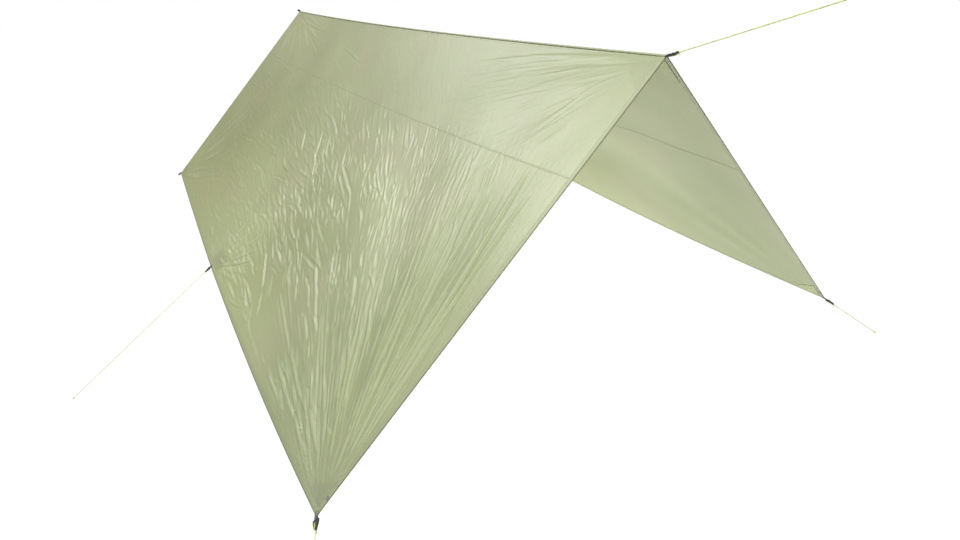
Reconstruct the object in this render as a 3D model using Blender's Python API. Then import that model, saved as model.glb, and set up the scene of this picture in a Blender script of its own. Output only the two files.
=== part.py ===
"""Camping tarp pitched as an A-frame.

Two slopes of thin coated nylon meet on one ridge seam. Each slope is an upper and a lower panel joined by a
seam, with hems, reinforcement patches and three webbing tie-outs. A tie-out holds a line adjuster on its bar,
and a guy line leaves the adjuster's nose. The ridge runs along +Y from the origin, which is the front end of
the ridge seam. Z is up, and all sizes are in metres and degrees.
"""

import math
from dataclasses import dataclass

import bmesh
import bpy
import numpy as np
from mathutils import Matrix

# Size and pitch of the tarp
RIDGE_LENGTH = 3.05
SLOPE_LENGTH = 1.295
PITCH_DEG = 44.3
MID_EDGE_PULL = 0.035

# Cloth, seams and hems
CLOTH = 0.001
RIDGE_SEAM_RADIUS = 0.004
SEAM_WIDTH = 0.009
SEAM_THICKNESS = 0.002
HEM_WIDTH = 0.015
HEM_THICKNESS = 0.002
GAP = 0.0003

# Reinforcement patches under the cloth
PATCH_THICKNESS = 0.001
PATCH_LEG = 0.095
PATCH_TIP = 0.015
MID_PATCH_LENGTH = 0.120
MID_PATCH_DEPTH = 0.060
RIDGE_PATCH_START = 0.015
LAY_GAP = 0.0006

# Webbing tie-outs
WEBBING_WIDTH = 0.012
WEBBING_THICKNESS = 0.0012
WEBBING_REACH = 0.0085
EYE_OPEN_DEG = 150.0
NECK_LENGTH = 2.4
CORNER_INSET = 0.014

# Line adjusters
BAR_RADIUS = 0.0018
BAR_CLEARANCE = 0.0003
ADJUSTER_THICKNESS = 0.0045
ADJUSTER_LENGTH = 0.0235
RAIL_WIDTH = 0.0034
RAIL_CLEARANCE = 0.0004
NOSE_WIDTH = 0.0062
NOSE_TIP = 0.0043
NOSE_SHOULDER = 0.0078
RAIL_CHAMFER = 0.0011
RAIL_TAPER = 0.0009
EDGE_BEVEL = 0.0004
CROSSBAR_START = 0.0068
CROSSBAR_WIDTH = 0.0030
CORD_SLOT_LENGTH = 0.0036
CORD_SLOT_WIDTH = 0.0064
CORD_SLOT_NARROW = 0.0054

# Guy lines
CORD_DIAMETER = 0.002
CORD_STEP = 0.020
KNOT_DIAMETER = 0.0056
KNOT_LENGTH = 0.0090
LOOP_LENGTH = 0.055
LOOP_WIDTH = 0.018
LOOP_TAPER = 0.45

# Folds in the cloth
FAN_START = 0.14
FAN_RISE = 0.22
FAN_FADE_START = 0.65
FAN_FADE = 0.75
CORNER_FOLDS = 4
RIDGE_FOLDS = 3

# How finely the surfaces are divided
PANEL_COLUMNS = 30
LOWER_ROWS = 14
UPPER_ROWS = 8
HEM_ROWS = 12
PATCH_ROWS = 3
ROUND_SIDES = 12
LOOP_POINTS = 24
KNOT_SIDES = 8
KNOT_RINGS = 6
FRAME_STEP = 0.002
SMOOTH_DEG = 40.0
BEVEL_DEG = 60.0

# Colour, roughness and metallic value of each kind of piece
FINISHES = {
    "cloth": ((0.52, 0.57, 0.40), 0.42, 0.0),
    "seam": ((0.44, 0.49, 0.33), 0.50, 0.0),
    "hem": ((0.42, 0.47, 0.32), 0.50, 0.0),
    "patch": ((0.46, 0.51, 0.35), 0.50, 0.0),
    "webbing": ((0.02, 0.02, 0.02), 0.75, 0.0),
    "adjuster": ((0.015, 0.015, 0.016), 0.38, 0.0),
    "cord": ((0.62, 0.72, 0.10), 0.65, 0.0),
}


@dataclass(frozen=True)
class Slope:
    """What differs between the two slopes as they are pitched."""

    name: str
    sign: int  # -1 on the -X side, +1 on the +X side
    seam_front: float  # from the ridge to the panel seam, at the front edge
    seam_back: float
    belly: float  # how far the middle hangs in, or with a minus bulges out
    front_bay_drop: float  # how far the free edge hangs between front corner and middle
    back_bay_drop: float
    mid_rise: float  # how far the middle tie-out lifts the free edge
    corner_fold: float  # height of the folds that fan from the front corner
    ridge_fold: float  # height of the folds that fan from the front end of the ridge


LEFT = Slope("left", -1, 0.340, 0.327, 0.055, 0.088, 0.032, 0.010, 0.0045, 0.0018)
RIGHT = Slope("right", 1, 0.469, 0.456, -0.070, 0.016, 0.016, 0.066, 0.002, 0.0015)

# In-plane pull of each corner, from the ridge direction towards the free edge, and the ridge guys' lift
LEFT_FRONT_PULL_DEG = 28.0
CORNER_PULL_DEG = 45.0
RIDGE_LIFT_DEG = 18.4

# Free length of each guy line that the view shows, from the adjuster's nose to its knot
RIDGE_CORD = 0.380
LEFT_FRONT_CORD = 0.080
LEFT_MID_CORD = 0.760
RIGHT_FRONT_CORD = 0.155


def clear_scene():
    """Remove every object that the file opened with."""
    for obj in list(bpy.data.objects):
        bpy.data.objects.remove(obj, do_unlink=True)


def material(name, finish):
    """Return a new Principled material for one sub-part."""
    colour, roughness, metallic = FINISHES[finish]
    made = bpy.data.materials.new(name)
    made.use_nodes = True
    shader = made.node_tree.nodes["Principled BSDF"]
    shader.inputs["Base Color"].default_value = (*colour, 1.0)
    shader.inputs["Roughness"].default_value = roughness
    shader.inputs["Metallic"].default_value = metallic
    made.diffuse_color = (*colour, 1.0)
    return made


def add_object(name, data, finish, matrix=None):
    """Link a mesh or curve as the object `name`, with its own material."""
    obj = bpy.data.objects.new(name, data)
    bpy.context.scene.collection.objects.link(obj)
    if matrix is not None:
        obj.matrix_world = matrix
    made = material(name, finish)
    if data.materials:
        obj.material_slots[0].link = "OBJECT"
        obj.material_slots[0].material = made
    else:
        data.materials.append(made)
    return obj


def finished_mesh(name, bm):
    """Turn a bmesh into a mesh with its faces out and its round sides smooth."""
    bmesh.ops.recalc_face_normals(bm, faces=bm.faces)
    mesh = bpy.data.meshes.new(name)
    bm.to_mesh(mesh)
    bm.free()
    mesh.shade_smooth()
    mesh.set_sharp_from_angle(angle=math.radians(SMOOTH_DEG))
    return mesh


def smooth_step(value):
    """Ease from 0 to 1 as value goes from 0 to 1."""
    t = min(max(value, 0.0), 1.0)
    return t * t * (3.0 - 2.0 * t)


def fan(along, across, count, height):
    """Height of folds that spread from a corner, given the distances from it along its two edges."""
    reach = math.hypot(along, across)
    turn = math.atan2(along, across) / (math.pi / 2)
    grow = smooth_step((reach - FAN_START) / FAN_RISE)
    fade = 1.0 - smooth_step((reach - FAN_FADE_START) / FAN_FADE)
    return height * grow * fade * math.sin(math.pi * turn) * math.sin(2 * math.pi * count * turn)


def cloth_point(slope, along, down):
    """Middle of the cloth, `along` the ridge from the front edge and `down` the flat cloth from the ridge."""
    pitch = math.radians(PITCH_DEG)
    u = along / RIDGE_LENGTH
    v = down / SLOPE_LENGTH
    outward = np.array([slope.sign * math.sin(pitch), 0.0, math.cos(pitch)])
    downhill = np.array([slope.sign * math.cos(pitch), 0.0, -math.sin(pitch)])
    middle = (1.0 - abs(2 * u - 1)) * v**3
    belly = slope.belly * 4 * v * (1 - v) * 4 * u * (1 - u)
    bay, drop = (2 * u, slope.front_bay_drop) if u < 0.5 else (2 * u - 1, slope.back_bay_drop)
    hang = drop * 4 * bay * (1 - bay) * v**3
    folds = fan(along, SLOPE_LENGTH - down, CORNER_FOLDS, slope.corner_fold)
    folds += fan(along, down, RIDGE_FOLDS, slope.ridge_fold)
    point = downhill * (down + MID_EDGE_PULL * middle) + outward * (folds - belly)
    return point + np.array([0.0, along, slope.mid_rise * middle - hang])


def cloth_frame(slope, along, down):
    """Return the point and the unit directions along the ridge, down the slope and out of the cloth."""
    step = FRAME_STEP
    point = cloth_point(slope, along, down)
    run = cloth_point(slope, along + step, down) - cloth_point(slope, along - step, down)
    fall = cloth_point(slope, along, down + step) - cloth_point(slope, along, down - step)
    run /= np.linalg.norm(run)
    fall /= np.linalg.norm(fall)
    out = -slope.sign * np.cross(run, fall)
    return point, run, fall, out / np.linalg.norm(out)


def lifted_point(slope, along, down, lift):
    """Point at `lift` out of the middle of the cloth."""
    point, _, _, out = cloth_frame(slope, along, down)
    return point + out * lift


def cloth_piece(name, slope, span, lines, divisions, thickness, finish, lift=0.0):
    """Make a closed piece of a slope.

    span is its start and end along the ridge, lines are two functions that give its upper and lower line down
    the slope, and divisions are its columns and rows.
    """
    bm = bmesh.new()
    columns, rows = divisions
    upper, lower = lines
    layers = []
    for half in (thickness / 2, -thickness / 2):
        grid = []
        for i in range(columns + 1):
            along = span[0] + (span[1] - span[0]) * i / columns
            top, foot = upper(along), lower(along)
            downs = [top + (foot - top) * j / rows for j in range(rows + 1)]
            grid.append([bm.verts.new(lifted_point(slope, along, down, lift + half)) for down in downs])
        layers.append(grid)
    outer, inner = layers
    for i in range(columns):
        for j in range(rows):
            bm.faces.new((outer[i][j], outer[i + 1][j], outer[i + 1][j + 1], outer[i][j + 1]))
            bm.faces.new((inner[i][j], inner[i][j + 1], inner[i + 1][j + 1], inner[i + 1][j]))
    rim = [(i, 0) for i in range(columns)]
    rim += [(columns, j) for j in range(rows)]
    rim += [(i, rows) for i in range(columns, 0, -1)]
    rim += [(0, j) for j in range(rows, 0, -1)]
    for (i, j), (k, m) in zip(rim, rim[1:] + rim[:1]):
        bm.faces.new((outer[k][m], outer[i][j], inner[i][j], inner[k][m]))
    return add_object(name, finished_mesh(name, bm), finish)


def level(down):
    """A line that stays `down` from the ridge."""
    return lambda along: down


def seam_line(slope, offset=0.0):
    """The panel seam's line, moved down the slope by offset."""
    rise = (slope.seam_back - slope.seam_front) / RIDGE_LENGTH
    return lambda along: slope.seam_front + rise * along + offset


def slanted(start, foot, at, towards):
    """A line that goes from `foot`, where along is `start`, to `towards`, where along is `at`."""
    return lambda along: foot + (towards - foot) * (along - start) / (at - start)


def build_panels(slope):
    """Upper and lower panel, and the seam between them."""
    span = (HEM_WIDTH + GAP, RIDGE_LENGTH - HEM_WIDTH - GAP)
    ridge = level(RIDGE_SEAM_RADIUS + GAP)
    foot = level(SLOPE_LENGTH - HEM_WIDTH - GAP)
    half = SEAM_WIDTH / 2
    upper = (ridge, seam_line(slope, -half - GAP))
    lower = (seam_line(slope, half + GAP), foot)
    seam = (seam_line(slope, -half), seam_line(slope, half))
    cloth_piece(f"{slope.name}_upper_panel", slope, span, upper, (PANEL_COLUMNS, UPPER_ROWS), CLOTH, "cloth")
    cloth_piece(f"{slope.name}_lower_panel", slope, span, lower, (PANEL_COLUMNS, LOWER_ROWS), CLOTH, "cloth")
    cloth_piece(f"{slope.name}_seam", slope, span, seam, (PANEL_COLUMNS, 1), SEAM_THICKNESS, "seam")


def build_hems(slope):
    """The rolled hems on the free edge and on the front and back edges."""
    inner = SLOPE_LENGTH - HEM_WIDTH
    foot = (level(inner), level(SLOPE_LENGTH))
    side = (level(RIDGE_SEAM_RADIUS + GAP), level(inner - GAP))
    back = RIDGE_LENGTH - HEM_WIDTH
    spans = {"front": (0.0, HEM_WIDTH), "back": (back, RIDGE_LENGTH)}
    cloth_piece(
        f"{slope.name}_foot_hem", slope, (0.0, RIDGE_LENGTH), foot, (PANEL_COLUMNS, 1), HEM_THICKNESS, "hem"
    )
    for place, span in spans.items():
        cloth_piece(f"{slope.name}_{place}_hem", slope, span, side, (1, HEM_ROWS), HEM_THICKNESS, "hem")


def build_patches(slope):
    """Reinforcement under the cloth at both corners, both ridge ends and the mid edge."""
    lift = -(CLOTH / 2 + LAY_GAP + PATCH_THICKNESS / 2)
    near, far = HEM_WIDTH + GAP, PATCH_LEG
    foot = SLOPE_LENGTH - HEM_WIDTH - GAP
    grid = (PATCH_ROWS, PATCH_ROWS)
    ends = {
        "front": (near, far),
        "back": (RIDGE_LENGTH - near, RIDGE_LENGTH - far),
    }
    for place, (start, end) in ends.items():
        span = (min(start, end), max(start, end))
        corner = (slanted(start, SLOPE_LENGTH - far, end, foot - PATCH_TIP), level(foot))
        ridge = (level(RIDGE_PATCH_START), slanted(start, far, end, RIDGE_PATCH_START + PATCH_TIP))
        name = f"{slope.name}_{place}"
        cloth_piece(f"{name}_corner_patch", slope, span, corner, grid, PATCH_THICKNESS, "patch", lift)
        cloth_piece(f"{name}_ridge_patch", slope, span, ridge, grid, PATCH_THICKNESS, "patch", lift)
    middle = RIDGE_LENGTH / 2
    span = (middle - MID_PATCH_LENGTH / 2, middle + MID_PATCH_LENGTH / 2)
    mid = (level(foot - MID_PATCH_DEPTH), level(foot))
    grid = (2 * (PATCH_ROWS - 1), PATCH_ROWS - 1)
    cloth_piece(f"{slope.name}_mid_patch", slope, span, mid, grid, PATCH_THICKNESS, "patch", lift)


def build_ridge_seam():
    """The rolled seam on the ridge, which both slopes turn about."""
    bm = bmesh.new()
    turn = Matrix.Translation((0, RIDGE_LENGTH / 2, 0)) @ Matrix.Rotation(math.radians(90), 4, "X")
    bmesh.ops.create_cone(
        bm,
        cap_ends=True,
        segments=ROUND_SIDES,
        radius1=RIDGE_SEAM_RADIUS,
        radius2=RIDGE_SEAM_RADIUS,
        depth=RIDGE_LENGTH,
        matrix=turn,
    )
    add_object("ridge_seam", finished_mesh("ridge_seam", bm), "seam")


@dataclass(frozen=True)
class TieOut:
    """Where a webbing loop is sewn on, how it is pulled, and the guy line that it holds."""

    name: str
    point: np.ndarray  # on the edge of the cloth
    pull: np.ndarray  # unit direction away from the cloth
    out: np.ndarray  # unit direction out of the cloth
    root: float = GAP  # from the point to where the webbing leaves the hem
    bend_deg: float = 0.0  # how far the loop turns from pull towards out
    cord: float = 0.0  # free length of the guy line, or 0 where the view shows none
    looped: bool = False  # the guy line ends in a tied loop, and otherwise in a knot

    @property
    def frame(self):
        """Matrix whose X is the pull, Y the width of the webbing and Z out of the cloth."""
        across = np.cross(self.out, self.pull)
        matrix = np.identity(4)
        matrix[:3, 0], matrix[:3, 1], matrix[:3, 2] = self.pull, across, self.out
        matrix[:3, 3] = self.point
        return Matrix(matrix.tolist())

    @property
    def strap_frame(self):
        """Matrix of the webbing, whose X is turned by the bend."""
        return self.frame @ Matrix.Rotation(-math.radians(self.bend_deg), 4, "Y")

    @property
    def eye_frame(self):
        """Matrix of the adjuster: its origin is on the bar's axis, which is its Y."""
        return self.strap_frame @ Matrix.Translation((WEBBING_REACH, 0, 0))


def corner_tie_out(slope, place, pull_deg, **guy):
    """A corner's tie-out, pulled in the plane of the cloth."""
    along = 0.0 if place == "front" else RIDGE_LENGTH
    inset = CORNER_INSET if place == "front" else -CORNER_INSET
    _, run, fall, out = cloth_frame(slope, along + inset, SLOPE_LENGTH - CORNER_INSET)
    away = -run if place == "front" else run
    turn = math.radians(pull_deg)
    pull = away * math.cos(turn) + fall * math.sin(turn)
    pull -= out * (pull @ out)
    pull /= np.linalg.norm(pull)
    point = lifted_point(slope, along, SLOPE_LENGTH, 0.0)
    return TieOut(f"{slope.name}_{place}", point, pull, out, **guy)


def mid_tie_out(slope, **guy):
    """The tie-out in the middle of the free edge, pulled straight down the cloth."""
    middle, width, half = RIDGE_LENGTH / 2, WEBBING_WIDTH / 2, HEM_THICKNESS / 2
    point, run, fall, _ = cloth_frame(slope, middle, SLOPE_LENGTH)
    run = np.array([0.0, 1.0, 0.0])
    fall -= run * (fall @ run)
    fall /= np.linalg.norm(fall)
    out = -slope.sign * np.cross(run, fall)
    hem = [
        lifted_point(slope, middle + side, SLOPE_LENGTH, lift) - point
        for side in (-width, width)
        for lift in (-half, half)
    ]
    root = GAP + max(0.0, *[edge @ fall for edge in hem])
    return TieOut(f"{slope.name}_mid", point, fall, out, root=root, **guy)


def ridge_tie_out(place, **guy):
    """A tie-out at one end of the ridge seam, bent up towards its tree or pole."""
    end, away = (0.0, -1.0) if place == "front" else (RIDGE_LENGTH, 1.0)
    point = np.array([0.0, end, 0.0])
    pull = np.array([0.0, away, 0.0])
    up = np.array([0.0, 0.0, 1.0])
    return TieOut(f"ridge_{place}", point, pull, up, bend_deg=RIDGE_LIFT_DEG, **guy)


def all_tie_outs():
    """Every tie-out, the ridge first."""
    return [
        ridge_tie_out("front", cord=RIDGE_CORD, looped=True),
        ridge_tie_out("back"),
        corner_tie_out(LEFT, "front", LEFT_FRONT_PULL_DEG, cord=LEFT_FRONT_CORD, looped=True),
        mid_tie_out(LEFT, cord=LEFT_MID_CORD),
        corner_tie_out(LEFT, "back", CORNER_PULL_DEG),
        corner_tie_out(RIGHT, "front", CORNER_PULL_DEG, cord=RIGHT_FRONT_CORD),
        mid_tie_out(RIGHT),
        corner_tie_out(RIGHT, "back", CORNER_PULL_DEG),
    ]


def webbing_path(tie):
    """Middle line of the webbing in X and Z: one layer out of the hem, round the bar, and one layer back."""
    radius = BAR_RADIUS + BAR_CLEARANCE + WEBBING_THICKNESS / 2
    layer = (WEBBING_THICKNESS + GAP) / 2
    turn = math.radians(tie.bend_deg)
    root = (tie.root + (layer + WEBBING_THICKNESS / 2) * math.sin(turn)) / math.cos(turn)
    neck = WEBBING_REACH - NECK_LENGTH * radius
    eye = []
    for k in range(ROUND_SIDES + 1):
        angle = math.radians(EYE_OPEN_DEG * (2 * k / ROUND_SIDES - 1))
        eye.append((WEBBING_REACH + radius * math.cos(angle), radius * math.sin(angle)))
    return [(root, -layer), (neck, -layer), *eye, (neck, layer), (root, layer)]


def build_webbing(tie):
    """The webbing loop of one tie-out, which comes out of the fold of the hem."""
    path = np.array(webbing_path(tie))
    ahead = np.gradient(path, axis=0)
    normal = np.stack([-ahead[:, 1], ahead[:, 0]], axis=1)
    normal /= np.linalg.norm(normal, axis=1)[:, None]
    half = WEBBING_THICKNESS / 2
    outline = list(path + normal * half) + list(reversed(path - normal * half))
    bm = bmesh.new()
    rings = []
    for side in (-WEBBING_WIDTH / 2, WEBBING_WIDTH / 2):
        rings.append([bm.verts.new((x, side, z)) for x, z in outline])
    count = len(outline)
    for k in range(count):
        after = (k + 1) % count
        bm.faces.new((rings[0][k], rings[0][after], rings[1][after], rings[1][k]))
    points = len(path)
    for ring in rings:
        for k in range(points - 1):
            bm.faces.new((ring[k], ring[k + 1], ring[count - 2 - k], ring[count - 1 - k]))
    name = f"{tie.name}_webbing"
    add_object(name, finished_mesh(name, bm), "webbing", tie.strap_frame)


def adjuster_outline():
    """Outline of the adjuster's plate, open where the webbing's bar crosses."""
    inner = WEBBING_WIDTH / 2 + RAIL_CLEARANCE
    outer = inner + RAIL_WIDTH
    tail = ADJUSTER_THICKNESS / 2
    shoulder = ADJUSTER_LENGTH - NOSE_WIDTH / 2
    half = [
        (CROSSBAR_START, inner),
        (-tail, inner),
        (-tail, outer - RAIL_CHAMFER),
        (-tail + RAIL_CHAMFER, outer),
        (CROSSBAR_START, outer - RAIL_TAPER),
        (shoulder, NOSE_SHOULDER / 2),
        (ADJUSTER_LENGTH, NOSE_TIP / 2),
    ]
    return half + [(x, -y) for x, y in reversed(half)]


def prism(outline, thickness):
    """Mesh of an outline in XY, made solid by thickness."""
    bm = bmesh.new()
    lower = [bm.verts.new((x, y, -thickness / 2)) for x, y in outline]
    face = bm.faces.new(lower)
    raised = bmesh.ops.extrude_face_region(bm, geom=[face])
    verts = [item for item in raised["geom"] if isinstance(item, bmesh.types.BMVert)]
    bmesh.ops.translate(bm, verts=verts, vec=(0, 0, thickness))
    bmesh.ops.triangulate(bm, faces=bm.faces)
    return bm


def temporary(name, bm):
    """Link a bmesh as a guide object that is left out of the model."""
    bmesh.ops.recalc_face_normals(bm, faces=bm.faces)
    mesh = bpy.data.meshes.new(name)
    bm.to_mesh(mesh)
    bm.free()
    obj = bpy.data.objects.new(name, mesh)
    bpy.context.scene.collection.objects.link(obj)
    obj.hide_render = True
    obj.display_type = "WIRE"
    return obj


def adjuster_mesh():
    """The adjuster: a plate with a round bar for the webbing and a slot that grips the cord."""
    plate = temporary("adjuster_plate", prism(adjuster_outline(), ADJUSTER_THICKNESS))
    bar_bm = bmesh.new()
    bmesh.ops.create_cone(
        bar_bm,
        cap_ends=True,
        segments=ROUND_SIDES,
        radius1=BAR_RADIUS,
        radius2=BAR_RADIUS,
        depth=WEBBING_WIDTH + 2 * RAIL_CLEARANCE + RAIL_WIDTH,
        matrix=Matrix.Rotation(math.radians(90), 4, "X"),
    )
    bar = temporary("adjuster_bar", bar_bm)
    start = CROSSBAR_START + CROSSBAR_WIDTH
    end = start + CORD_SLOT_LENGTH
    side, narrow = CORD_SLOT_WIDTH / 2, CORD_SLOT_NARROW / 2
    slot = [(start, -side), (end, -narrow), (end, narrow), (start, side)]
    cutter = temporary("adjuster_slot", prism(slot, 2 * ADJUSTER_THICKNESS))
    for guide, operation in ((cutter, "DIFFERENCE"), (bar, "UNION")):
        boolean = plate.modifiers.new(guide.name, "BOOLEAN")
        boolean.operation = operation
        boolean.solver = "EXACT"
        boolean.object = guide
    bevel = plate.modifiers.new("edges", "BEVEL")
    bevel.width = EDGE_BEVEL
    bevel.segments = 1
    bevel.limit_method = "ANGLE"
    bevel.angle_limit = math.radians(BEVEL_DEG)
    depsgraph = bpy.context.evaluated_depsgraph_get()
    mesh = bpy.data.meshes.new_from_object(plate.evaluated_get(depsgraph))
    mesh.name = "adjuster"
    mesh.shade_smooth()
    mesh.set_sharp_from_angle(angle=math.radians(SMOOTH_DEG))
    mesh.materials.clear()
    mesh.materials.append(None)
    for guide in (plate, bar, cutter):
        bpy.data.objects.remove(guide, do_unlink=True)
    return mesh


def cord_curve(name, points, closed=False):
    """A round cord along its points."""
    curve = bpy.data.curves.new(name, "CURVE")
    curve.dimensions = "3D"
    curve.bevel_depth = CORD_DIAMETER / 2
    curve.bevel_resolution = 2
    curve.use_fill_caps = True
    spline = curve.splines.new("POLY")
    spline.points.add(len(points) - 1)
    for target, point in zip(spline.points, points):
        target.co = (*point, 1.0)
    spline.use_cyclic_u = closed
    return curve


def build_cord(tie):
    """The guy line's free stretch, straight out of the adjuster's nose."""
    start = ADJUSTER_LENGTH + GAP
    steps = max(4, round(tie.cord / CORD_STEP))
    points = [(start + tie.cord * k / steps, 0, 0) for k in range(steps + 1)]
    name = f"{tie.name}_cord"
    add_object(name, cord_curve(name, points), "cord", tie.eye_frame)


def build_knot(tie):
    """The knot at the guy line's far end."""
    name = f"{tie.name}_cord_knot"
    bm = bmesh.new()
    bmesh.ops.create_uvsphere(bm, u_segments=KNOT_SIDES, v_segments=KNOT_RINGS, radius=0.5)
    shape = Matrix.Diagonal((KNOT_LENGTH, KNOT_DIAMETER, KNOT_DIAMETER, 1))
    middle = ADJUSTER_LENGTH + 2 * GAP + tie.cord + KNOT_LENGTH / 2
    bmesh.ops.transform(bm, matrix=Matrix.Translation((middle, 0, 0)) @ shape, verts=bm.verts)
    add_object(name, finished_mesh(name, bm), "cord", tie.eye_frame)


def build_loop(tie):
    """The tied loop beyond the knot, which goes over a hook or a peg."""
    name = f"{tie.name}_cord_loop"
    knot_end = ADJUSTER_LENGTH + 2 * GAP + tie.cord + KNOT_LENGTH
    middle = knot_end + GAP + CORD_DIAMETER / 2 + LOOP_LENGTH / 2
    points = []
    for k in range(LOOP_POINTS):
        angle = 2 * math.pi * k / LOOP_POINTS
        taper = 1.0 - LOOP_TAPER * (1.0 - math.cos(angle))
        across = LOOP_WIDTH / 2 * math.sin(angle) * taper
        points.append((middle + LOOP_LENGTH / 2 * math.cos(angle), across, 0))
    add_object(name, cord_curve(name, points, closed=True), "cord", tie.eye_frame)


def main():
    """Build the whole tarp."""
    clear_scene()
    build_ridge_seam()
    for slope in (LEFT, RIGHT):
        build_panels(slope)
        build_hems(slope)
        build_patches(slope)
    plate = adjuster_mesh()
    for tie in all_tie_outs():
        build_webbing(tie)
        add_object(f"{tie.name}_adjuster", plate, "adjuster", tie.eye_frame)
        if tie.cord:
            build_cord(tie)
            build_knot(tie)
        if tie.looped:
            build_loop(tie)


main()
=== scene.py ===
"""Camping tarp pitched as an A-frame: the looks of its cloth, seams, webbing, adjusters and guy lines.

Everything is in metres in the part's own frame. The ridge runs along +Y from the origin, +Z is up, the left
slope falls towards -X and the right slope towards +X. Places on a slope are given on the cut cloth, as metres
along the ridge from the front edge and metres down from the ridge.
"""

import logging
import math
from dataclasses import dataclass, field, replace
from enum import Enum
from typing import Callable

import bpy
import numpy as np
from mathutils import Matrix, Vector


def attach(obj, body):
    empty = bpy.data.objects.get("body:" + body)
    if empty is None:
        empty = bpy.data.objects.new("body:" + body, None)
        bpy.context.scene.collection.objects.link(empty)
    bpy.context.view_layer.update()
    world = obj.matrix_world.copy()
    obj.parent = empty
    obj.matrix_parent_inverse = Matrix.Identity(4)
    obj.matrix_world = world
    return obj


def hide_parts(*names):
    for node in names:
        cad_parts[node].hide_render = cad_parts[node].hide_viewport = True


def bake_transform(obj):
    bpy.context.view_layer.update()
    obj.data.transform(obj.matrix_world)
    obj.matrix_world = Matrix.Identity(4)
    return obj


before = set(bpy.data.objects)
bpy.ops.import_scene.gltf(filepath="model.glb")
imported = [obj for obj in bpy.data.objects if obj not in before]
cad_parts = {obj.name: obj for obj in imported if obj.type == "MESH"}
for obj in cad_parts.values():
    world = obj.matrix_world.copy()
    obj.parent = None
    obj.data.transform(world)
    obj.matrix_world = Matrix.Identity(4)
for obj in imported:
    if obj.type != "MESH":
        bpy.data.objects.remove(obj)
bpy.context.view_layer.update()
LOG = logging.getLogger("tarp")

# The cut cloth and how it is pitched, as in the part
RIDGE_LENGTH = 3.05
SLOPE_LENGTH = 1.295
PITCH = math.radians(44.3)
MID_EDGE_PULL = 0.035
HEM_WIDTH = 0.015
RIDGE_SEAM_RADIUS = 0.004

# How far the ridge hangs between its two ends
RIDGE_SAG = 0.016

# Cloth as it is dressed: a panel is one layer, a seam four and a hem three. The panels start beside the ridge seam
# and end inside the hems, the seam is as wide as it looks, and the patches start below the ridge and lie behind
# the panels.
PANEL_HALF = 0.0003
PANEL_TOP = 0.0022
PANEL_INSET = 0.004
PATCH_TOP = 0.015
SEAM_HALF = 0.0008
SEAM_SHOWN = 0.0052
HEM_HALF = 0.0010
SIDE_HEM_HALF = HEM_HALF * 0.92
PATCH_HALF = 0.0003
PATCH_LIFT = -0.0012

# The seam stops short of the outer edges of the front and back hems, and these start under the ridge roll and run
# on into the foot hem
SEAM_END = 0.010
SIDE_HEM_TOP = 0.003
SIDE_HEM_TUCK = 0.002

# What puckers takes for each fold: height, pitch, how far they wander and how soon
FOOT_PUCKERS = (0.00022, 0.021, 2.3, 5.3)
SEAM_PUCKERS = (0.00025, 0.026, 2.1, 7.7)
SIDE_PUCKERS = (0.0002, 0.019, 2.0, 8.1)

# Edges sharper than this stay sharp
RIM_ANGLE = math.radians(55.0)

# Tie-outs, as in the part
WEBBING_WIDTH = 0.012
WEBBING_THICKNESS = 0.0012
WEBBING_REACH = 0.0085
GAP = 0.0003
BAR_RADIUS = 0.0018
BAR_CLEARANCE = 0.0003
NECK_LENGTH = 2.4
EYE_OPEN = math.radians(150.0)
RIDGE_BEND = math.radians(18.4)
CORNER_INSET = 0.014
CORNER_TAIL = 0.012
MID_TAIL = 0.006
RIDGE_TAIL = 0.001
ADJUSTER_LENGTH = 0.0235
KNOT_LENGTH = 0.0090
LOOP_LENGTH = 0.055
LOOP_WIDTH = 0.018
LOOP_TAPER = 0.45
CORD_DIAMETER = 0.002

# How far to each side the cloth is felt for its directions
FRAME_STEP = 0.002

# What the finishes read from a mesh: place on the cut cloth, place on the strap, height of the creases, height of
# the braid's strands. The last tells a thread how to lie.
PLAN_MAP = "plan"
STRAP_MAP = "strap"
CREASE = "crease"
BRAID = "braid"
LIE = "lie"

Array = np.ndarray
Line = Callable[[Array], Array]
Span = tuple[float, float]
Node = bpy.types.Node
Socket = bpy.types.NodeSocket
Sockets = bpy.types.bpy_prop_collection
Tree = bpy.types.NodeTree
Material = bpy.types.Material
Object = bpy.types.Object


def linear(hex_colour: str) -> tuple[float, float, float, float]:
    """Turn an sRGB hex colour into linear RGBA.

    Args:
        hex_colour: Six hex digits after a #.

    Returns:
        The linear colour with full alpha.
    """
    parts = [int(hex_colour[k : k + 2], 16) / 255 for k in (1, 3, 5)]
    red, green, blue = (c / 12.92 if c <= 0.04045 else ((c + 0.055) / 1.055) ** 2.4 for c in parts)
    return (red, green, blue, 1.0)


def feed(node: Node, inputs: dict | tuple) -> Node:
    """Set and link inputs of a node.

    Args:
        node: The node.
        inputs: What each input gets, by name or place, or in their order. It is a plain value, a socket, or a node,
            whose first output in use is linked.

    Returns:
        The same node.
    """
    for key, value in inputs.items() if isinstance(inputs, dict) else enumerate(inputs):
        if isinstance(value, Node):
            value = next(socket for socket in value.outputs if socket.enabled)
        if isinstance(value, Socket):
            node.id_data.links.new(value, node.inputs[key])
        else:
            node.inputs[key].default_value = value
    return node


def add_node(tree: Tree, kind: str, inputs: dict | tuple = (), **settings: object) -> Node:
    """Add one node to a tree with its settings and whatever feeds it.

    Args:
        tree: The tree that gets the node.
        kind: Blender's type name of the node.
        inputs: What its inputs get, as in feed.
        settings: Values of the node's own properties.

    Returns:
        The new node.
    """
    node = tree.nodes.new(kind)
    for name, value in settings.items():
        setattr(node, name, value)
    return feed(node, inputs)


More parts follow.
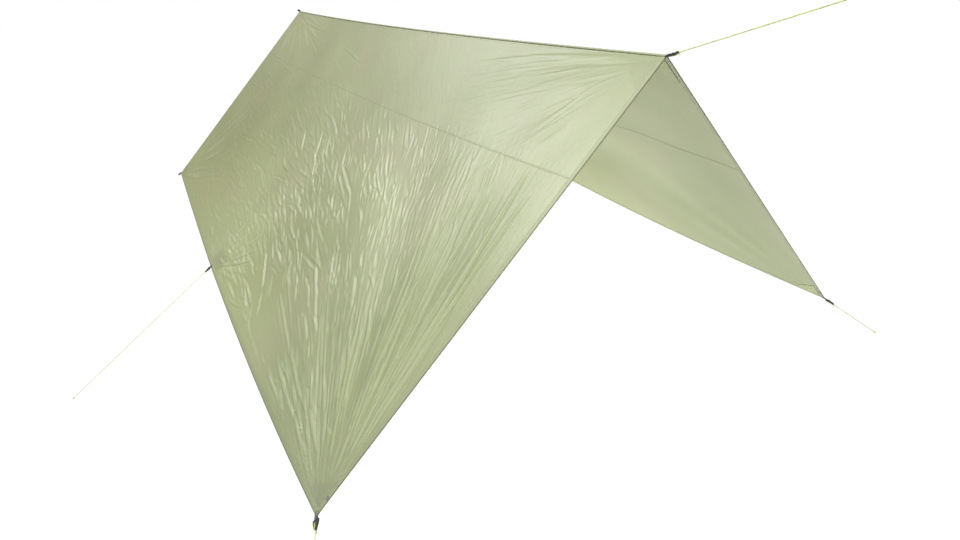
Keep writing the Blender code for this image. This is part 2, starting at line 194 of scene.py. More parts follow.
def new_material(name: str) -> tuple[Material, Tree, Node]:
    """Start a material that is made with nodes.

    Args:
        name: What the real thing is made of.

    Returns:
        The material, its tree and its shader.
    """
    made = bpy.data.materials.new(name)
    made.use_nodes = True
    return made, made.node_tree, made.node_tree.nodes["Principled BSDF"]


def linked(name: str, data: bpy.types.ID) -> Object:
    """Make an object and put it in the scene.

    Args:
        name: Its name.
        data: Its mesh, lamp or camera.

    Returns:
        The object.
    """
    made = bpy.data.objects.new(name, data)
    bpy.context.scene.collection.objects.link(made)
    return made


def axes_matrix(x: Array, y: Array, z: Array, place: Array | tuple) -> Matrix:
    """Matrix from its three axes and its origin.

    Args:
        x: The first axis.
        y: The second.
        z: The third.
        place: The origin.

    Returns:
        The matrix.
    """
    matrix = np.identity(4)
    matrix[:3] = np.stack([x, y, z, place], -1)
    return Matrix(matrix.tolist())


def smooth_step(value: Array) -> Array:
    """Ease from 0 to 1 as value goes from 0 to 1."""
    t = np.clip(value, 0.0, 1.0)
    return t * t * (3.0 - 2.0 * t)


def unit(vectors: Array) -> Array:
    """Scale each vector to length one."""
    return vectors / np.linalg.norm(vectors, axis=-1, keepdims=True)


def graded(start: float, end: float, first: float, last: float) -> Array:
    """Place points from start to end whose spacing grows evenly.

    Args:
        start: First point.
        end: Last point.
        first: Spacing at the start.
        last: Spacing at the end.

    Returns:
        The points, both ends among them.
    """
    count = max(2, round(2 * (end - start) / (first + last)))
    steps = np.linspace(first, last, count)
    return start + (end - start) * np.concatenate([[0.0], np.cumsum(steps)]) / steps.sum()


def level(value: float) -> Line:
    """A line that keeps one distance from the ridge."""
    return lambda along: np.full_like(along, value)


def puckers(at: Array, height: float, pitch: float, wander: float, rate: float) -> Array:
    """Small waves that the sewing draws in a fold, of an uneven length.

    Args:
        at: Places along the fold.
        height: Height of a wave.
        pitch: Its length.
        wander: How far it shifts, in radians.
        rate: How soon that changes, in radians for each metre.

    Returns:
        Height of the waves at those places.
    """
    return height * np.sin(2 * math.pi * at / pitch + wander * np.sin(rate * at))


# Creases that cross don't pile up above this
CREASE_LIMIT = 0.0026

# A crease reaches this many half widths. Its trough lies this many to the side, and has this half width, squared
CREASE_REACH = 5
TROUGH_PLACE = 1.8
TROUGH_WIDTH = 1.6

# Share of a crease that is left on the hems' outer edge, and how far in from there and from the ridge it is whole
CREASE_AT_EDGE = 0.25
EDGE_EASE = 0.030
RIDGE_EASE = 0.012

# How many broad folds spread from the front foot corner and from the front end of the ridge, and where they start
# to grow and to fade, each with the length that it takes
FOLD_COUNTS = (4, 3)
FOLD_GROWS = (0.14, 0.22)
FOLD_FADES = (0.65, 0.75)

# Where the cloth of the left slope lies smooth: along and down of its middle, and its reach each way
SMOOTH_SPOT = (0.88, 1.15, 0.27, 0.10)

# How far along and down a field of creases thins out
FIELD_SPREAD = (1.25, 0.55)


@dataclass(frozen=True)
class Crease:
    """One crease of a slope, between two places on the cut cloth.

    Attributes:
        ends: Along and down of the start, then of the end.
        width: Half width of its ridge.
        height: How far the ridge stands out.
        bow: How far its middle bends sideways.
        valley: Depth of the trough beside it as a share of the height, its sign giving the side.
    """

    ends: tuple[float, float, float, float]
    width: float
    height: float
    bow: float = 0.0
    valley: float = 0.6

    def raise_cloth(self, along: Array, down: Array, height: Array) -> None:
        """Add the crease to the height of the cloth.

        Args:
            along: Places along the ridge.
            down: Places down the slope.
            height: Height of the cloth at those places, which is changed.
        """
        a0, d0, a1, d1 = self.ends
        reach = CREASE_REACH * self.width + abs(self.bow)
        near = (along > min(a0, a1) - reach) & (along < max(a0, a1) + reach)
        near &= (down > min(d0, d1) - reach) & (down < max(d0, d1) + reach)
        if not near.any():
            return
        length = math.hypot(a1 - a0, d1 - d0)
        run_a, run_d = (a1 - a0) / length, (d1 - d0) / length
        x, y = along[near] - a0, down[near] - d0
        t = np.clip((x * run_a + y * run_d) / length, 0.0, 1.0)
        # Towards both ends it gets lower and narrower
        taper = (4 * t * (1 - t)) ** 0.8
        side = (y * run_a - x * run_d - self.bow * 4 * t * (1 - t)) / (self.width * (0.55 + 0.45 * taper))
        trough = side - math.copysign(TROUGH_PLACE, self.valley)
        shape = np.exp(-side * side) - abs(self.valley) * np.exp(-trough * trough / TROUGH_WIDTH)
        height[near] += self.height * taper * shape


class FanCorner(Enum):
    """Where a fan of creases starts: along and down of the place, and which way the cloth lies from it."""

    FRONT_FOOT = (0.0, SLOPE_LENGTH, 1, -1)
    BACK_FOOT = (RIDGE_LENGTH, SLOPE_LENGTH, -1, -1)
    FRONT_RIDGE = (0.0, 0.0, 1, 1)
    BACK_RIDGE = (RIDGE_LENGTH, 0.0, -1, 1)
    MID_FOOT_FORWARD = (RIDGE_LENGTH / 2, SLOPE_LENGTH, -1, -1)
    MID_FOOT_BACK = (RIDGE_LENGTH / 2, SLOPE_LENGTH, 1, -1)


@dataclass
class CreaseMaker:
    """Draws the small creases that tension leaves in thin cloth, the same each time for one seed.

    Attributes:
        seed: What the random draws start from.
        creases: The creases made so far.
        traced_bow: Most that a traced crease bends, as a share of its length.
        traced_valley: Depth of the trough beside a traced crease, as a share of its height.
        valley: The same for the other creases.
        fan_lean: Spread of the angles by which a crease in a fan leaves the line from its corner.
        fan_bow: Spread of their bends, as a share of their length.
        field_lean: Spread of the angles by which a scattered crease turns from the place it leans towards.
        field_bow: Spread of their bends, as a share of their length.
    """

    seed: int
    creases: list[Crease] = field(default_factory=list)
    traced_bow: float = 0.03
    traced_valley: float = 0.7
    valley: float = 0.6
    fan_lean: float = 0.03
    fan_bow: float = 0.02
    field_lean: float = 0.16
    field_bow: float = 0.04

    def __post_init__(self) -> None:
        """Start the random draws."""
        self.random = np.random.default_rng(self.seed)

    def traced(self, rows: tuple[tuple[float, ...], ...], width: float, height: float) -> None:
        """Add creases whose places were read off the photograph.

        Args:
            rows: Along and down of both ends, and a strength from 1 to 3.
            width: Half width at strength 2.
            height: Height at strength 2.
        """
        for a0, d0, a1, d1, strength in rows:
            scale = 0.35 + 0.325 * strength
            length = math.hypot(a1 - a0, d1 - d0)
            bow = self.random.uniform(-self.traced_bow, self.traced_bow) * length
            side = self.random.choice((-self.traced_valley, self.traced_valley))
            self.creases.append(Crease((a0, d0, a1, d1), width * scale, height * scale, bow, side))

    def fan(
        self, corner: FanCorner, count: int, turns: Span, starts: Span, lengths: Span, widths: Span, heights: Span
    ) -> None:
        """Add creases that spread from a corner.

        Args:
            corner: Where they start.
            count: How many.
            turns: Least and greatest angle from the edge along the ridge direction, in degrees.
            starts: Least and greatest distance from the corner at which one starts.
            lengths: Least and greatest length.
            widths: Least and greatest half width.
            heights: Least and greatest height.
        """
        a0, d0, to_a, to_d = corner.value
        for _ in range(count):
            turn = math.radians(self.random.uniform(*turns))
            start, length = self.random.uniform(*starts), self.random.uniform(*lengths)
            lean = turn + self.random.normal(0.0, self.fan_lean)
            near = (a0 + to_a * start * math.cos(turn), d0 + to_d * start * math.sin(turn))
            far = (near[0] + to_a * length * math.cos(lean), near[1] + to_d * length * math.sin(lean))
            grow = 0.7 + 0.6 * min(1.0, start / 0.5)
            width, height = self.random.uniform(*widths) * grow, self.random.uniform(*heights)
            bow = self.random.normal(0.0, self.fan_bow) * length
            side = self.random.choice((-self.valley, self.valley))
            self.creases.append(Crease((*near, *far), width, height, bow, side))

    def scatter(
        self,
        target: Span,
        count: int,
        box: tuple[float, float, float, float],
        middle: Span,
        lengths: Span,
        widths: Span,
        heights: Span,
    ) -> None:
        """Scatter short creases that all lean towards one place.

        Args:
            target: The place that they lean towards.
            count: How many are drawn, of which the far ones are thinned out.
            box: Least along and down, and greatest along and down.
            middle: Along and down round which they are dense.
            lengths: Least and greatest length.
            widths: Least and greatest half width.
            heights: Least and greatest height.
        """
        for _ in range(count):
            a = self.random.uniform(box[0], box[2])
            d = self.random.uniform(box[1], box[3])
            far = ((a - middle[0]) / FIELD_SPREAD[0]) ** 2 + ((d - middle[1]) / FIELD_SPREAD[1]) ** 2
            keep, lean = self.random.random(), self.random.normal(0.0, self.field_lean)
            length, bow = self.random.uniform(*lengths), self.random.normal(0.0, self.field_bow)
            width, height = self.random.uniform(*widths), self.random.uniform(*heights)
            side = self.random.choice((-self.valley, self.valley))
            smooth = ((a - SMOOTH_SPOT[0]) / SMOOTH_SPOT[2]) ** 2 + ((d - SMOOTH_SPOT[1]) / SMOOTH_SPOT[3]) ** 2
            if keep > math.exp(-far) or smooth < 1.0:
                continue
            # Towards the back they grow longer, wider and lower, and near the ridge they are lower too
            reach = 1.0 + 1.2 * a / RIDGE_LENGTH
            length, width = length * reach, width * reach
            height *= (1.0 - 0.62 * min(1.0, max(0.0, a - 1.0) / 1.1)) * (0.45 + 0.55 * min(1.0, d / 0.85))
            turn = math.atan2(target[1] - d, target[0] - a) + lean
            half_a, half_d = 0.5 * length * math.cos(turn), 0.5 * length * math.sin(turn)
            ends = (a - half_a, d - half_d, a + half_a, d + half_d)
            self.creases.append(Crease(ends, width, height, bow * length, side))


# Long creases up from the near foot corner and along the near foot edge, read off the photograph
CORNER_CREASES = (
    (0.43, 1.22, 0.20, 1.245, 2), (0.66, 1.19, 0.52, 1.20, 2), (0.65, 1.14, 0.33, 1.19, 3),
    (0.66, 1.25, 0.50, 1.255, 2), (0.53, 1.21, 0.37, 1.23, 2), (0.34, 1.18, 0.17, 1.22, 3),
    (0.40, 1.09, 0.15, 1.20, 2), (0.41, 1.04, 0.10, 1.21, 1), (0.38, 1.00, 0.09, 1.20, 1),
    (0.40, 0.96, 0.27, 1.04, 3), (0.26, 1.04, 0.08, 1.19, 1), (0.39, 0.88, 0.30, 0.95, 3),
    (0.17, 1.04, 0.06, 1.18, 1), (0.19, 0.94, 0.07, 1.15, 1), (0.11, 0.96, 0.04, 1.16, 2),
    (0.12, 0.88, 0.06, 1.08, 1), (0.07, 0.72, 0.03, 1.10, 3), (0.12, 0.78, 0.08, 0.97, 2),
    (0.58, 0.85, 0.48, 0.92, 3), (0.60, 0.88, 0.56, 0.92, 2), (1.26, 1.06, 1.09, 1.14, 3),
    (1.05, 0.98, 0.96, 1.06, 3), (1.10, 1.08, 1.00, 1.14, 2), (1.23, 1.18, 1.08, 1.20, 2),
    (1.08, 1.20, 0.99, 1.25, 2), (1.44, 1.18, 1.23, 1.18, 1), (1.08, 1.14, 0.99, 1.20, 2),
    (0.36, 0.80, 0.30, 0.89, 2), (0.17, 0.86, 0.12, 0.93, 1), (0.52, 0.94, 0.46, 0.97, 1),
    (0.14, 0.68, 0.11, 0.85, 1), (0.32, 0.84, 0.23, 0.94, 1), (0.89, 1.01, 0.81, 1.04, 1),
    (1.79, 0.58, 1.66, 0.68, 2), (1.60, 0.54, 1.47, 0.67, 2), (1.49, 0.54, 1.39, 0.64, 2),
    (1.44, 0.66, 1.34, 0.74, 2), (1.18, 0.62, 0.97, 0.68, 3), (1.27, 0.41, 1.12, 0.48, 1),
    (0.92, 0.55, 0.76, 0.62, 2), (1.19, 0.54, 1.12, 0.61, 1), (0.17, 0.34, 0.035, 1.15, 3),
    (0.10, 0.40, 0.024, 1.13, 2), (0.26, 0.42, 0.055, 1.17, 2), (0.34, 0.52, 0.08, 1.17, 2),
)  # fmt: skip

# Creases that spread from both ends of the ridge, read off the photograph
RIDGE_CREASES = (
    (0.08, 0.012, 0.60, 0.035, 2), (0.07, 0.015, 0.77, 0.10, 3), (0.07, 0.02, 0.52, 0.08, 3),
    (0.06, 0.02, 0.69, 0.14, 2), (0.07, 0.03, 0.40, 0.10, 2), (0.06, 0.04, 0.27, 0.11, 2),
    (0.07, 0.05, 0.17, 0.11, 2), (0.26, 0.11, 0.54, 0.20, 1), (0.28, 0.13, 0.55, 0.23, 2),
    (0.15, 0.10, 0.26, 0.25, 3), (0.12, 0.11, 0.22, 0.24, 2), (0.17, 0.15, 0.25, 0.26, 2),
    (0.23, 0.14, 0.41, 0.24, 1), (0.30, 0.20, 0.45, 0.26, 1), (0.32, 0.25, 0.41, 0.31, 2),
    (2.91, 0.04, 2.25, 0.09, 2), (2.71, 0.11, 2.19, 0.25, 2), (1.99, 0.14, 1.61, 0.20, 2),
    (2.12, 0.19, 1.67, 0.30, 1), (0.13, 0.01, 0.42, 0.06, 2),
)  # fmt: skip


# Fans of creases on the left slope: the corner, how many, then the ranges of their turns, starts, lengths, widths
# and heights
LEFT_FANS = (
    (FanCorner.FRONT_FOOT, 110, (12, 84), (0.05, 0.35), (0.15, 0.60), (0.0030, 0.0042), (0.0011, 0.0030)),
    (FanCorner.FRONT_FOOT, 80, (18, 80), (0.35, 0.86), (0.10, 0.30), (0.0030, 0.0046), (0.0004, 0.0012)),
    (FanCorner.FRONT_FOOT, 22, (4, 24), (0.30, 0.80), (0.12, 0.34), (0.0032, 0.0044), (0.0012, 0.0028)),
    (FanCorner.FRONT_RIDGE, 90, (3, 56), (0.08, 0.60), (0.08, 0.32), (0.0028, 0.0042), (0.0002, 0.0005)),
    (FanCorner.BACK_RIDGE, 18, (6, 70), (0.06, 0.30), (0.15, 0.50), (0.0060, 0.0110), (0.0005, 0.0014)),
    (FanCorner.BACK_FOOT, 30, (14, 76), (0.06, 0.40), (0.15, 0.50), (0.0060, 0.0100), (0.0006, 0.0016)),
    (FanCorner.MID_FOOT_FORWARD, 16, (10, 85), (0.04, 0.14), (0.10, 0.30), (0.0040, 0.0070), (0.0006, 0.0016)),
    (FanCorner.MID_FOOT_BACK, 14, (10, 85), (0.04, 0.14), (0.10, 0.30), (0.0050, 0.0080), (0.0006, 0.0016)),
)


def left_creases() -> list[Crease]:
    """Draw the creases of the left slope, whose near foot corner is pulled hardest.

    Returns:
        The creases.
    """
    made = CreaseMaker(seed=11)
    made.traced(CORNER_CREASES, width=0.0041, height=0.0044)
    made.traced(RIDGE_CREASES, width=0.0038, height=0.0008)
    for fan in LEFT_FANS:
        made.fan(*fan)
    made.scatter(
        (0.0, SLOPE_LENGTH), 2300, (0.12, 0.34, 2.95, 1.26), (1.25, 0.90),
        (0.03, 0.14), (0.0026, 0.0037), (0.0008, 0.0021),
    )  # fmt: skip
    return made.creases


def right_creases() -> list[Crease]:
    """Draw the creases of the right slope, which is pulled flatter.

    Returns:
        The creases.
    """
    made = CreaseMaker(seed=23)
    for corner in (FanCorner.FRONT_FOOT, FanCorner.BACK_FOOT, FanCorner.FRONT_RIDGE, FanCorner.BACK_RIDGE):
        made.fan(corner, 14, (12, 78), (0.06, 0.25), (0.15, 0.50), (0.0080, 0.0140), (0.0001, 0.0003))
    made.scatter(
        (0.0, SLOPE_LENGTH), 120, (0.20, 0.30, 2.90, 1.20), (1.50, 0.70),
        (0.08, 0.25), (0.0080, 0.0130), (0.0001, 0.0003),
    )  # fmt: skip
    return made.creases


@dataclass(frozen=True)
class SlopeSurface:
    """The middle of one slope's cloth as it is pitched.

    Attributes:
        name: Side of the tarp.
        sign: -1 on the -X side and +1 on the +X side.
        seam_front: From the ridge to the panel seam at the front edge.
        seam_back: The same at the back edge.
        belly: How far the middle hangs in, or with a minus bulges out.
        bays: How far the free edge hangs in the front and in the back bay.
        rise: How far the middle tie-out lifts the free edge.
        folds: Height of the broad folds from the front foot corner and from the front ridge end.
        creases: The small creases.
    """

    name: str
    sign: int
    seam_front: float
    seam_back: float
    belly: float
    bays: tuple[float, float]
    rise: float
    folds: tuple[float, float]
    creases: tuple[Crease, ...] = field(repr=False, default=())

    @property
    def outward(self) -> Array:
        """Unit direction out of the pitched slope."""
        return np.array([self.sign * math.sin(PITCH), 0.0, math.cos(PITCH)])

    @property
    def downhill(self) -> Array:
        """Unit direction down the pitched slope."""
        return np.array([self.sign * math.cos(PITCH), 0.0, -math.sin(PITCH)])

    @staticmethod
    def broad_fold(along: Array, across: Array, count: int, height: float) -> Array:
        """Height of the broad folds that spread from a corner.

        Args:
            along: Distance from the corner along the ridge direction.
            across: Distance from it across the slope.
            count: Number of folds.
            height: Height of a fold.

        Returns:
            How far the cloth stands out.
        """
        reach = np.hypot(along, across)
        turn = np.arctan2(along, across) / (math.pi / 2)
        grow = smooth_step((reach - FOLD_GROWS[0]) / FOLD_GROWS[1])
        fade = 1.0 - smooth_step((reach - FOLD_FADES[0]) / FOLD_FADES[1])
        return height * grow * fade * np.sin(math.pi * turn) * np.sin(2 * math.pi * count * turn)

    def crease_height(self, along: Array, down: Array) -> Array:
        """How far the small creases stand out, less at the hems' outer edge and not at all on the ridge.

        Args:
            along: Places along the ridge.
            down: Places down the slope.

        Returns:
            Height of the creases at those places.
        """
        height = np.zeros(along.shape)
        for crease in self.creases:
            crease.raise_cloth(along, down, height)
        height = CREASE_LIMIT * np.tanh(height / CREASE_LIMIT)
        edge = np.minimum(np.minimum(along, RIDGE_LENGTH - along), SLOPE_LENGTH - down)
        whole = CREASE_AT_EDGE + (1.0 - CREASE_AT_EDGE) * smooth_step(edge / EDGE_EASE)
        return height * whole * smooth_step(down / RIDGE_EASE)

    def points(self, along: Array, down: Array) -> Array:
        """Place of the middle of the cloth.

        Args:
            along: Metres from the front edge.
            down: Metres from the ridge on the cut cloth.

        Returns:
            One point for each place.
        """
        u, v = along / RIDGE_LENGTH, down / SLOPE_LENGTH
        middle = (1.0 - np.abs(2 * u - 1)) * v**3
        belly = self.belly * 16 * v * (1 - v) * u * (1 - u)
        bay = np.where(u < 0.5, 2 * u, 2 * u - 1)
        hang = np.where(u < 0.5, *self.bays) * 4 * bay * (1 - bay) * v**3
        out = self.broad_fold(along, SLOPE_LENGTH - down, FOLD_COUNTS[0], self.folds[0])
        out += self.broad_fold(along, down, FOLD_COUNTS[1], self.folds[1])
        out += self.crease_height(along, down) - belly
        sag = RIDGE_SAG * 4 * u * (1 - u) * (1 - v) ** 2
        point = (down + MID_EDGE_PULL * middle)[..., None] * self.downhill + out[..., None] * self.outward
        point[..., 1] += along
        point[..., 2] += self.rise * middle - hang - sag
        return point

    def frames(self, along: Array, down: Array) -> tuple[Array, Array, Array, Array]:
        """Point, and unit directions along the ridge, down the slope and out of the cloth.

        Args:
            along: Places along the ridge.
            down: Places down the slope.

        Returns:
            The points, then the directions along the ridge, down the slope and out of the cloth.
        """
        along, down = np.broadcast_arrays(np.asarray(along, float), np.asarray(down, float))
        run = self.points(along + FRAME_STEP, down) - self.points(along - FRAME_STEP, down)
        fall = self.points(along, down + FRAME_STEP) - self.points(along, down - FRAME_STEP)
        run, fall = unit(run), unit(fall)
        return self.points(along, down), run, fall, unit(-self.sign * np.cross(run, fall))

    def seam_line(self, along: Array) -> Array:
        """Distance from the ridge to the middle of the panel seam."""
        return self.seam_front + (self.seam_back - self.seam_front) * along / RIDGE_LENGTH


LEFT = SlopeSurface(
    "left", -1, 0.340, 0.327, 0.055, (0.088, 0.032), 0.010, (0.0045, 0.0018), tuple(left_creases())
)
RIGHT = SlopeSurface(
    "right", 1, 0.469, 0.456, -0.070, (0.016, 0.016), 0.066, (0.002, 0.0015), tuple(right_creases())
)


def mesh_object(name: str, points: Array, faces: Array | list, material: Material) -> Object:
    """Make an object from points and faces, its faces turned out.

    Args:
        name: Name of the piece.
        points: All its points.
        faces: Point numbers of each face.
        material: Its material.

    Returns:
        The linked object, smooth shaded.
    """
    points = points.reshape(-1, 3)
    faces = [list(map(int, f)) for f in faces]
    halves = np.array([f[:3] for f in faces] + [[f[0], f[2], f[3]] for f in faces if len(f) == 4])
    a, b, c = (points[halves[:, k]] for k in range(3))
    if (a * np.cross(b, c)).sum() < 0:
        faces = [f[::-1] for f in faces]
    mesh = bpy.data.meshes.new(name)
    mesh.from_pydata(points.tolist(), [], faces)
    mesh.materials.append(material)
    mesh.shade_smooth()
    return linked(name, mesh)


def closed_faces(columns: int, rows: int) -> Array:
    """Faces of a sheet with two layers of columns by rows points, closed round its rim.

    Args:
        columns: Points along.
        rows: Points down.

    Returns:
        Point numbers of each face.
    """
    index = np.arange(columns * rows).reshape(columns, rows)
    a, b, c, d = index[:-1, :-1], index[1:, :-1], index[1:, 1:], index[:-1, 1:]
    top = np.stack([a, b, c, d], -1).reshape(-1, 4)
    far = columns * rows
    rim = np.concatenate([index[:-1, 0], index[-1, :-1], index[:0:-1, -1], index[0, :0:-1]])
    after = np.roll(rim, -1)
    side = np.stack([after, rim, rim + far, after + far], -1)
    return np.concatenate([top, top[:, ::-1] + far, side])


def tube_faces(sections: int, sides: int) -> list[tuple[int, ...]]:
    """Faces of a tube of sections by sides points, closed at both ends.

    Args:
        sections: Rings of points.
        sides: Points in each.

    Returns:
        Point numbers of each face.
    """
    faces = []
    last = (sections - 1) * sides
    for start in range(0, last, sides):
        for m in range(sides):
            after = (m + 1) % sides
            faces.append((start + m, start + after, start + sides + after, start + sides + m))
    return faces + [tuple(range(sides))[::-1], tuple(range(last, last + sides))]


def store_map(made: Object, name: str, at_points: Array) -> None:
    """Give a mesh a UV map from a place for each of its points.

    Args:
        made: The object.
        name: Name of the map.
        at_points: Place of each point.
    """
    mesh = made.data
    layer = mesh.uv_layers.new(name=name)
    corner = np.empty(len(mesh.loops), np.int32)
    mesh.loops.foreach_get("vertex_index", corner)
    layer.uv.foreach_set("vector", at_points[corner].astype(np.float32).ravel())


def cloth_piece(
    name: str,
    slope: SlopeSurface,
    along: Array,
    down: Array,
    half: Array | float,
    material: Material,
    lift: float = 0.0,
    ripple: Array | float = 0.0,
) -> Object:
    """Make a closed piece of cloth that follows a slope.

    Args:
        name: Name of the piece.
        slope: The slope that it follows.
        along: Places along the ridge, columns by rows.
        down: Places down the slope, columns by rows.
        half: Half its thickness, one value or one for each place.
        material: Its material.
        lift: How far its middle stands out of the middle of the panels.
        ripple: Small waves of its own that are added to the lift.

    Returns:
        The object, with its plan map and its crease attribute.
    """
    point, _, _, out = slope.frames(along, down)
    half = np.broadcast_to(half, along.shape)[..., None]
    middle = point + out * (lift + np.broadcast_to(ripple, along.shape))[..., None]
    layers = np.stack([middle + out * half, middle - out * half])
    made = mesh_object(name, layers, closed_faces(*along.shape), material)
    made.data.set_sharp_from_angle(angle=RIM_ANGLE)
    plan = np.stack([along, down], -1).reshape(-1, 2)
    store_map(made, PLAN_MAP, np.concatenate([plan, plan]))
    # The finishes read it in millimetres, and on the other face a crease is a trough
    crease = slope.crease_height(along, down).ravel() / 0.001
    mark = made.data.attributes.new(CREASE, "FLOAT", "POINT")
    mark.data.foreach_set("value", np.concatenate([crease, -crease]).astype(np.float32))
    return made


# Power that narrows a wave to a thread of the ripstop grid, and how often the creases' streaks break for each
# metre from their corner
RIPSTOP_POWER = 14.0
STREAK_BREAKS = 7.0


@dataclass(frozen=True)
class ClothFinish:
    """Silicone-coated ripstop nylon: thin, smooth to the eye, with a soft sheen, and light comes through it.

    Attributes:
        name: What the cloth is.
        light: Colour where dye and coating are thin.
        shade: Colour where they are full.
        warm: Faint warm cast of the coating in broad patches.
        through: Share of the light that goes through.
        roughness: Of the coating.
        weave: Spacing of the thick ripstop threads, in metres.
        folds: How strongly the fine creases of stretched cloth show.
        gloss: Level of the coating's mirror reflection.
        sheen_loss_at_back: What the colour is multiplied by towards the back end: painted, it stands in for the
            sky's sheen that shows less there.
        crease_sheen: Colour painted on top of the creases: a painted highlight for the sheen that their tops catch.
        rim: Width of the painted shade along the free edge of a fold, where it turns under, none for 0.
        edge: Colour of that painted shade.
        dyed: Scale for each metre, and detail, of the patches where the dye is thin.
        tinged: The same of the warm cast.
        crinkles: Scale for each metre of the finest creases, about 26 mm from one to the next.
        fans: Streaks from the two front corners, one row each: metres down of the corner, streaks for each
            radian, their height, and how far out they have faded.
    """

    name: str
    light: str
    shade: str
    warm: str
    through: float
    roughness: float
    weave: float = 0.006
    folds: float = 1.0
    gloss: float = 0.5
    sheen_loss_at_back: str = "#F6F6CC"
    crease_sheen: str = "#D3D8BE"
    rim: float = 0.0
    edge: str = "#454B2E"
    dyed: Span = (1.3, 3.0)
    tinged: Span = (3.1, 2.0)
    crinkles: float = 38.0
    fans: tuple[tuple[float, ...], ...] = ((SLOPE_LENGTH, 64.0, 0.0030, 1.3), (0.0, 66.0, 0.0005, 1.0))

    def build(self) -> Material:
        """Make the material. Its patterns follow the cut cloth, in metres.

        Returns:
            The material.
        """
        made, tree, shader = new_material(self.name)
        plan = add_node(tree, "ShaderNodeUVMap", uv_map=PLAN_MAP)
        place = add_node(tree, "ShaderNodeSeparateXYZ", (plan,)).outputs
        grid = self.ripstop(tree, place)
        colour = self.colour(tree, plan, place, grid)
        bump = self.relief(tree, plan, grid)
        feed(shader, {"Base Color": colour, "Normal": bump, "Roughness": self.roughness})
        feed(shader, {"Specular IOR Level": self.gloss, "Sheen Weight": 0.05, "Sheen Roughness": 0.45})
        through = add_node(tree, "ShaderNodeBsdfTranslucent", {"Color": colour, "Normal": bump})
        mixed = add_node(tree, "ShaderNodeMixShader", (self.through, shader, through))
        feed(tree.nodes["Material Output"], (mixed,))
        return made

    def ripstop(self, tree: Tree, place: Sockets) -> Node:
        """Draw the grid of thick threads, 1 where one runs.

        Args:
            tree: The material's tree.
            place: Place on the cut cloth by its parts.

        Returns:
            The node that gives the grid.
        """
        lines = []
        for axis in ("X", "Y"):
            line = add_node(tree, "ShaderNodeMath", (place[axis], math.pi / self.weave), operation="MULTIPLY")
            for operation in ("COSINE", "ABSOLUTE"):
                line = add_node(tree, "ShaderNodeMath", (line,), operation=operation)
            lines.append(add_node(tree, "ShaderNodeMath", (line, RIPSTOP_POWER), operation="POWER"))
        return add_node(tree, "ShaderNodeMath", tuple(lines), operation="MAXIMUM")

    def colour(self, tree: Tree, plan: Node, place: Sockets, grid: Node) -> Node:
        """Lay the dye, the warm cast, the painted sheen loss at the back, the painted sheen on the creases, the
        threads and the painted shade at the edge.

        Args:
            tree: The material's tree.
            plan: Place on the cut cloth.
            place: The same by its parts.
            grid: The ripstop grid.

        Returns:
            The node that gives the colour.
        """
        dye, cast = (
            add_node(tree, "ShaderNodeTexNoise", {"Vector": plan, "Scale": s, "Detail": d}, noise_dimensions="2D")
            for s, d in (self.dyed, self.tinged)
        )
        crease = add_node(tree, "ShaderNodeAttribute", attribute_name=CREASE).outputs["Fac"]
        # What drives each layer, from and to which of its values, the layer's greatest share, and its colour
        layers = [
            (dye, 0.32, 0.68, 1.0, self.light, "MIX"),
            (cast, 0.48, 0.75, 0.35, self.warm, "MIX"),
            # Painted: darker and yellower towards the back, for the sheen that shows less there
            (place["X"], 0.4, 2.4, 1.0, self.sheen_loss_at_back, "MULTIPLY"),
            # Painted sheen: lighter on the crease tops, where they catch the light
            (crease, 0.25, 1.4, 0.18, self.crease_sheen, "MIX"),
            (grid, 0.0, 1.0, 0.05, self.shade, "MIX"),
        ]
        # Painted shade: darker within rim of the fold's free edge
        if self.rim:
            near = place["X"]
            for end, axis in ((RIDGE_LENGTH, "X"), (SLOPE_LENGTH, "Y")):
                left = add_node(tree, "ShaderNodeMath", (end, place[axis]), operation="SUBTRACT")
                near = add_node(tree, "ShaderNodeMath", (near, left), operation="MINIMUM")
            layers.append((near, self.rim, 0.0, 1.0, self.edge, "MIX"))
        colour = linear(self.shade)
        for drive, least, most, share, paint, blend in layers:
            ends = {"Value": drive, "From Min": least, "From Max": most, "To Max": share}
            much = add_node(tree, "ShaderNodeMapRange", ends)
            paints = {0: much, 6: colour, 7: linear(paint)}
            colour = add_node(tree, "ShaderNodeMix", paints, data_type="RGBA", blend_type=blend)
        return colour

    def relief(self, tree: Tree, plan: Node, grid: Node) -> Node:
        """Raise the thick threads and the finest creases, which are narrower than the mesh can hold.

        Args:
            tree: The material's tree.
            plan: Place on the cut cloth.
            grid: The ripstop grid.

        Returns:
            The node that gives the bumped normal.
        """
        weave = add_node(tree, "ShaderNodeBump", {"Height": grid, "Distance": 0.00008, "Strength": 0.5})
        fine = {"Vector": plan, "Scale": self.crinkles, "Detail": 4.0, "Roughness": 0.62, "Distortion": 0.6}
        crinkle = add_node(tree, "ShaderNodeTexNoise", fine, noise_dimensions="2D")
        raised = {"Height": crinkle, "Distance": 0.0011, "Strength": 0.5, "Normal": weave}
        normal = add_node(tree, "ShaderNodeBump", raised)
        if not self.folds:
            return normal
        for down, rays, height, end in self.fans:
            centred = add_node(tree, "ShaderNodeVectorMath", (plan, (0.0, down, 0.0)), operation="SUBTRACT")
            parts = add_node(tree, "ShaderNodeSeparateXYZ", (centred,)).outputs
            turn = add_node(tree, "ShaderNodeMath", (parts["Y"], parts["X"]), operation="ARCTAN2")
            ray = add_node(tree, "ShaderNodeMath", (turn, rays), operation="MULTIPLY")
            reach = add_node(tree, "ShaderNodeVectorMath", (centred,), operation="LENGTH")
            far = add_node(tree, "ShaderNodeMath", (reach, STREAK_BREAKS), operation="MULTIPLY")
            polar = add_node(tree, "ShaderNodeCombineXYZ", (ray, far))
            long = {"Vector": polar, "Scale": 1.0, "Detail": 3.0, "Roughness": 0.55, "Distortion": 0.3}
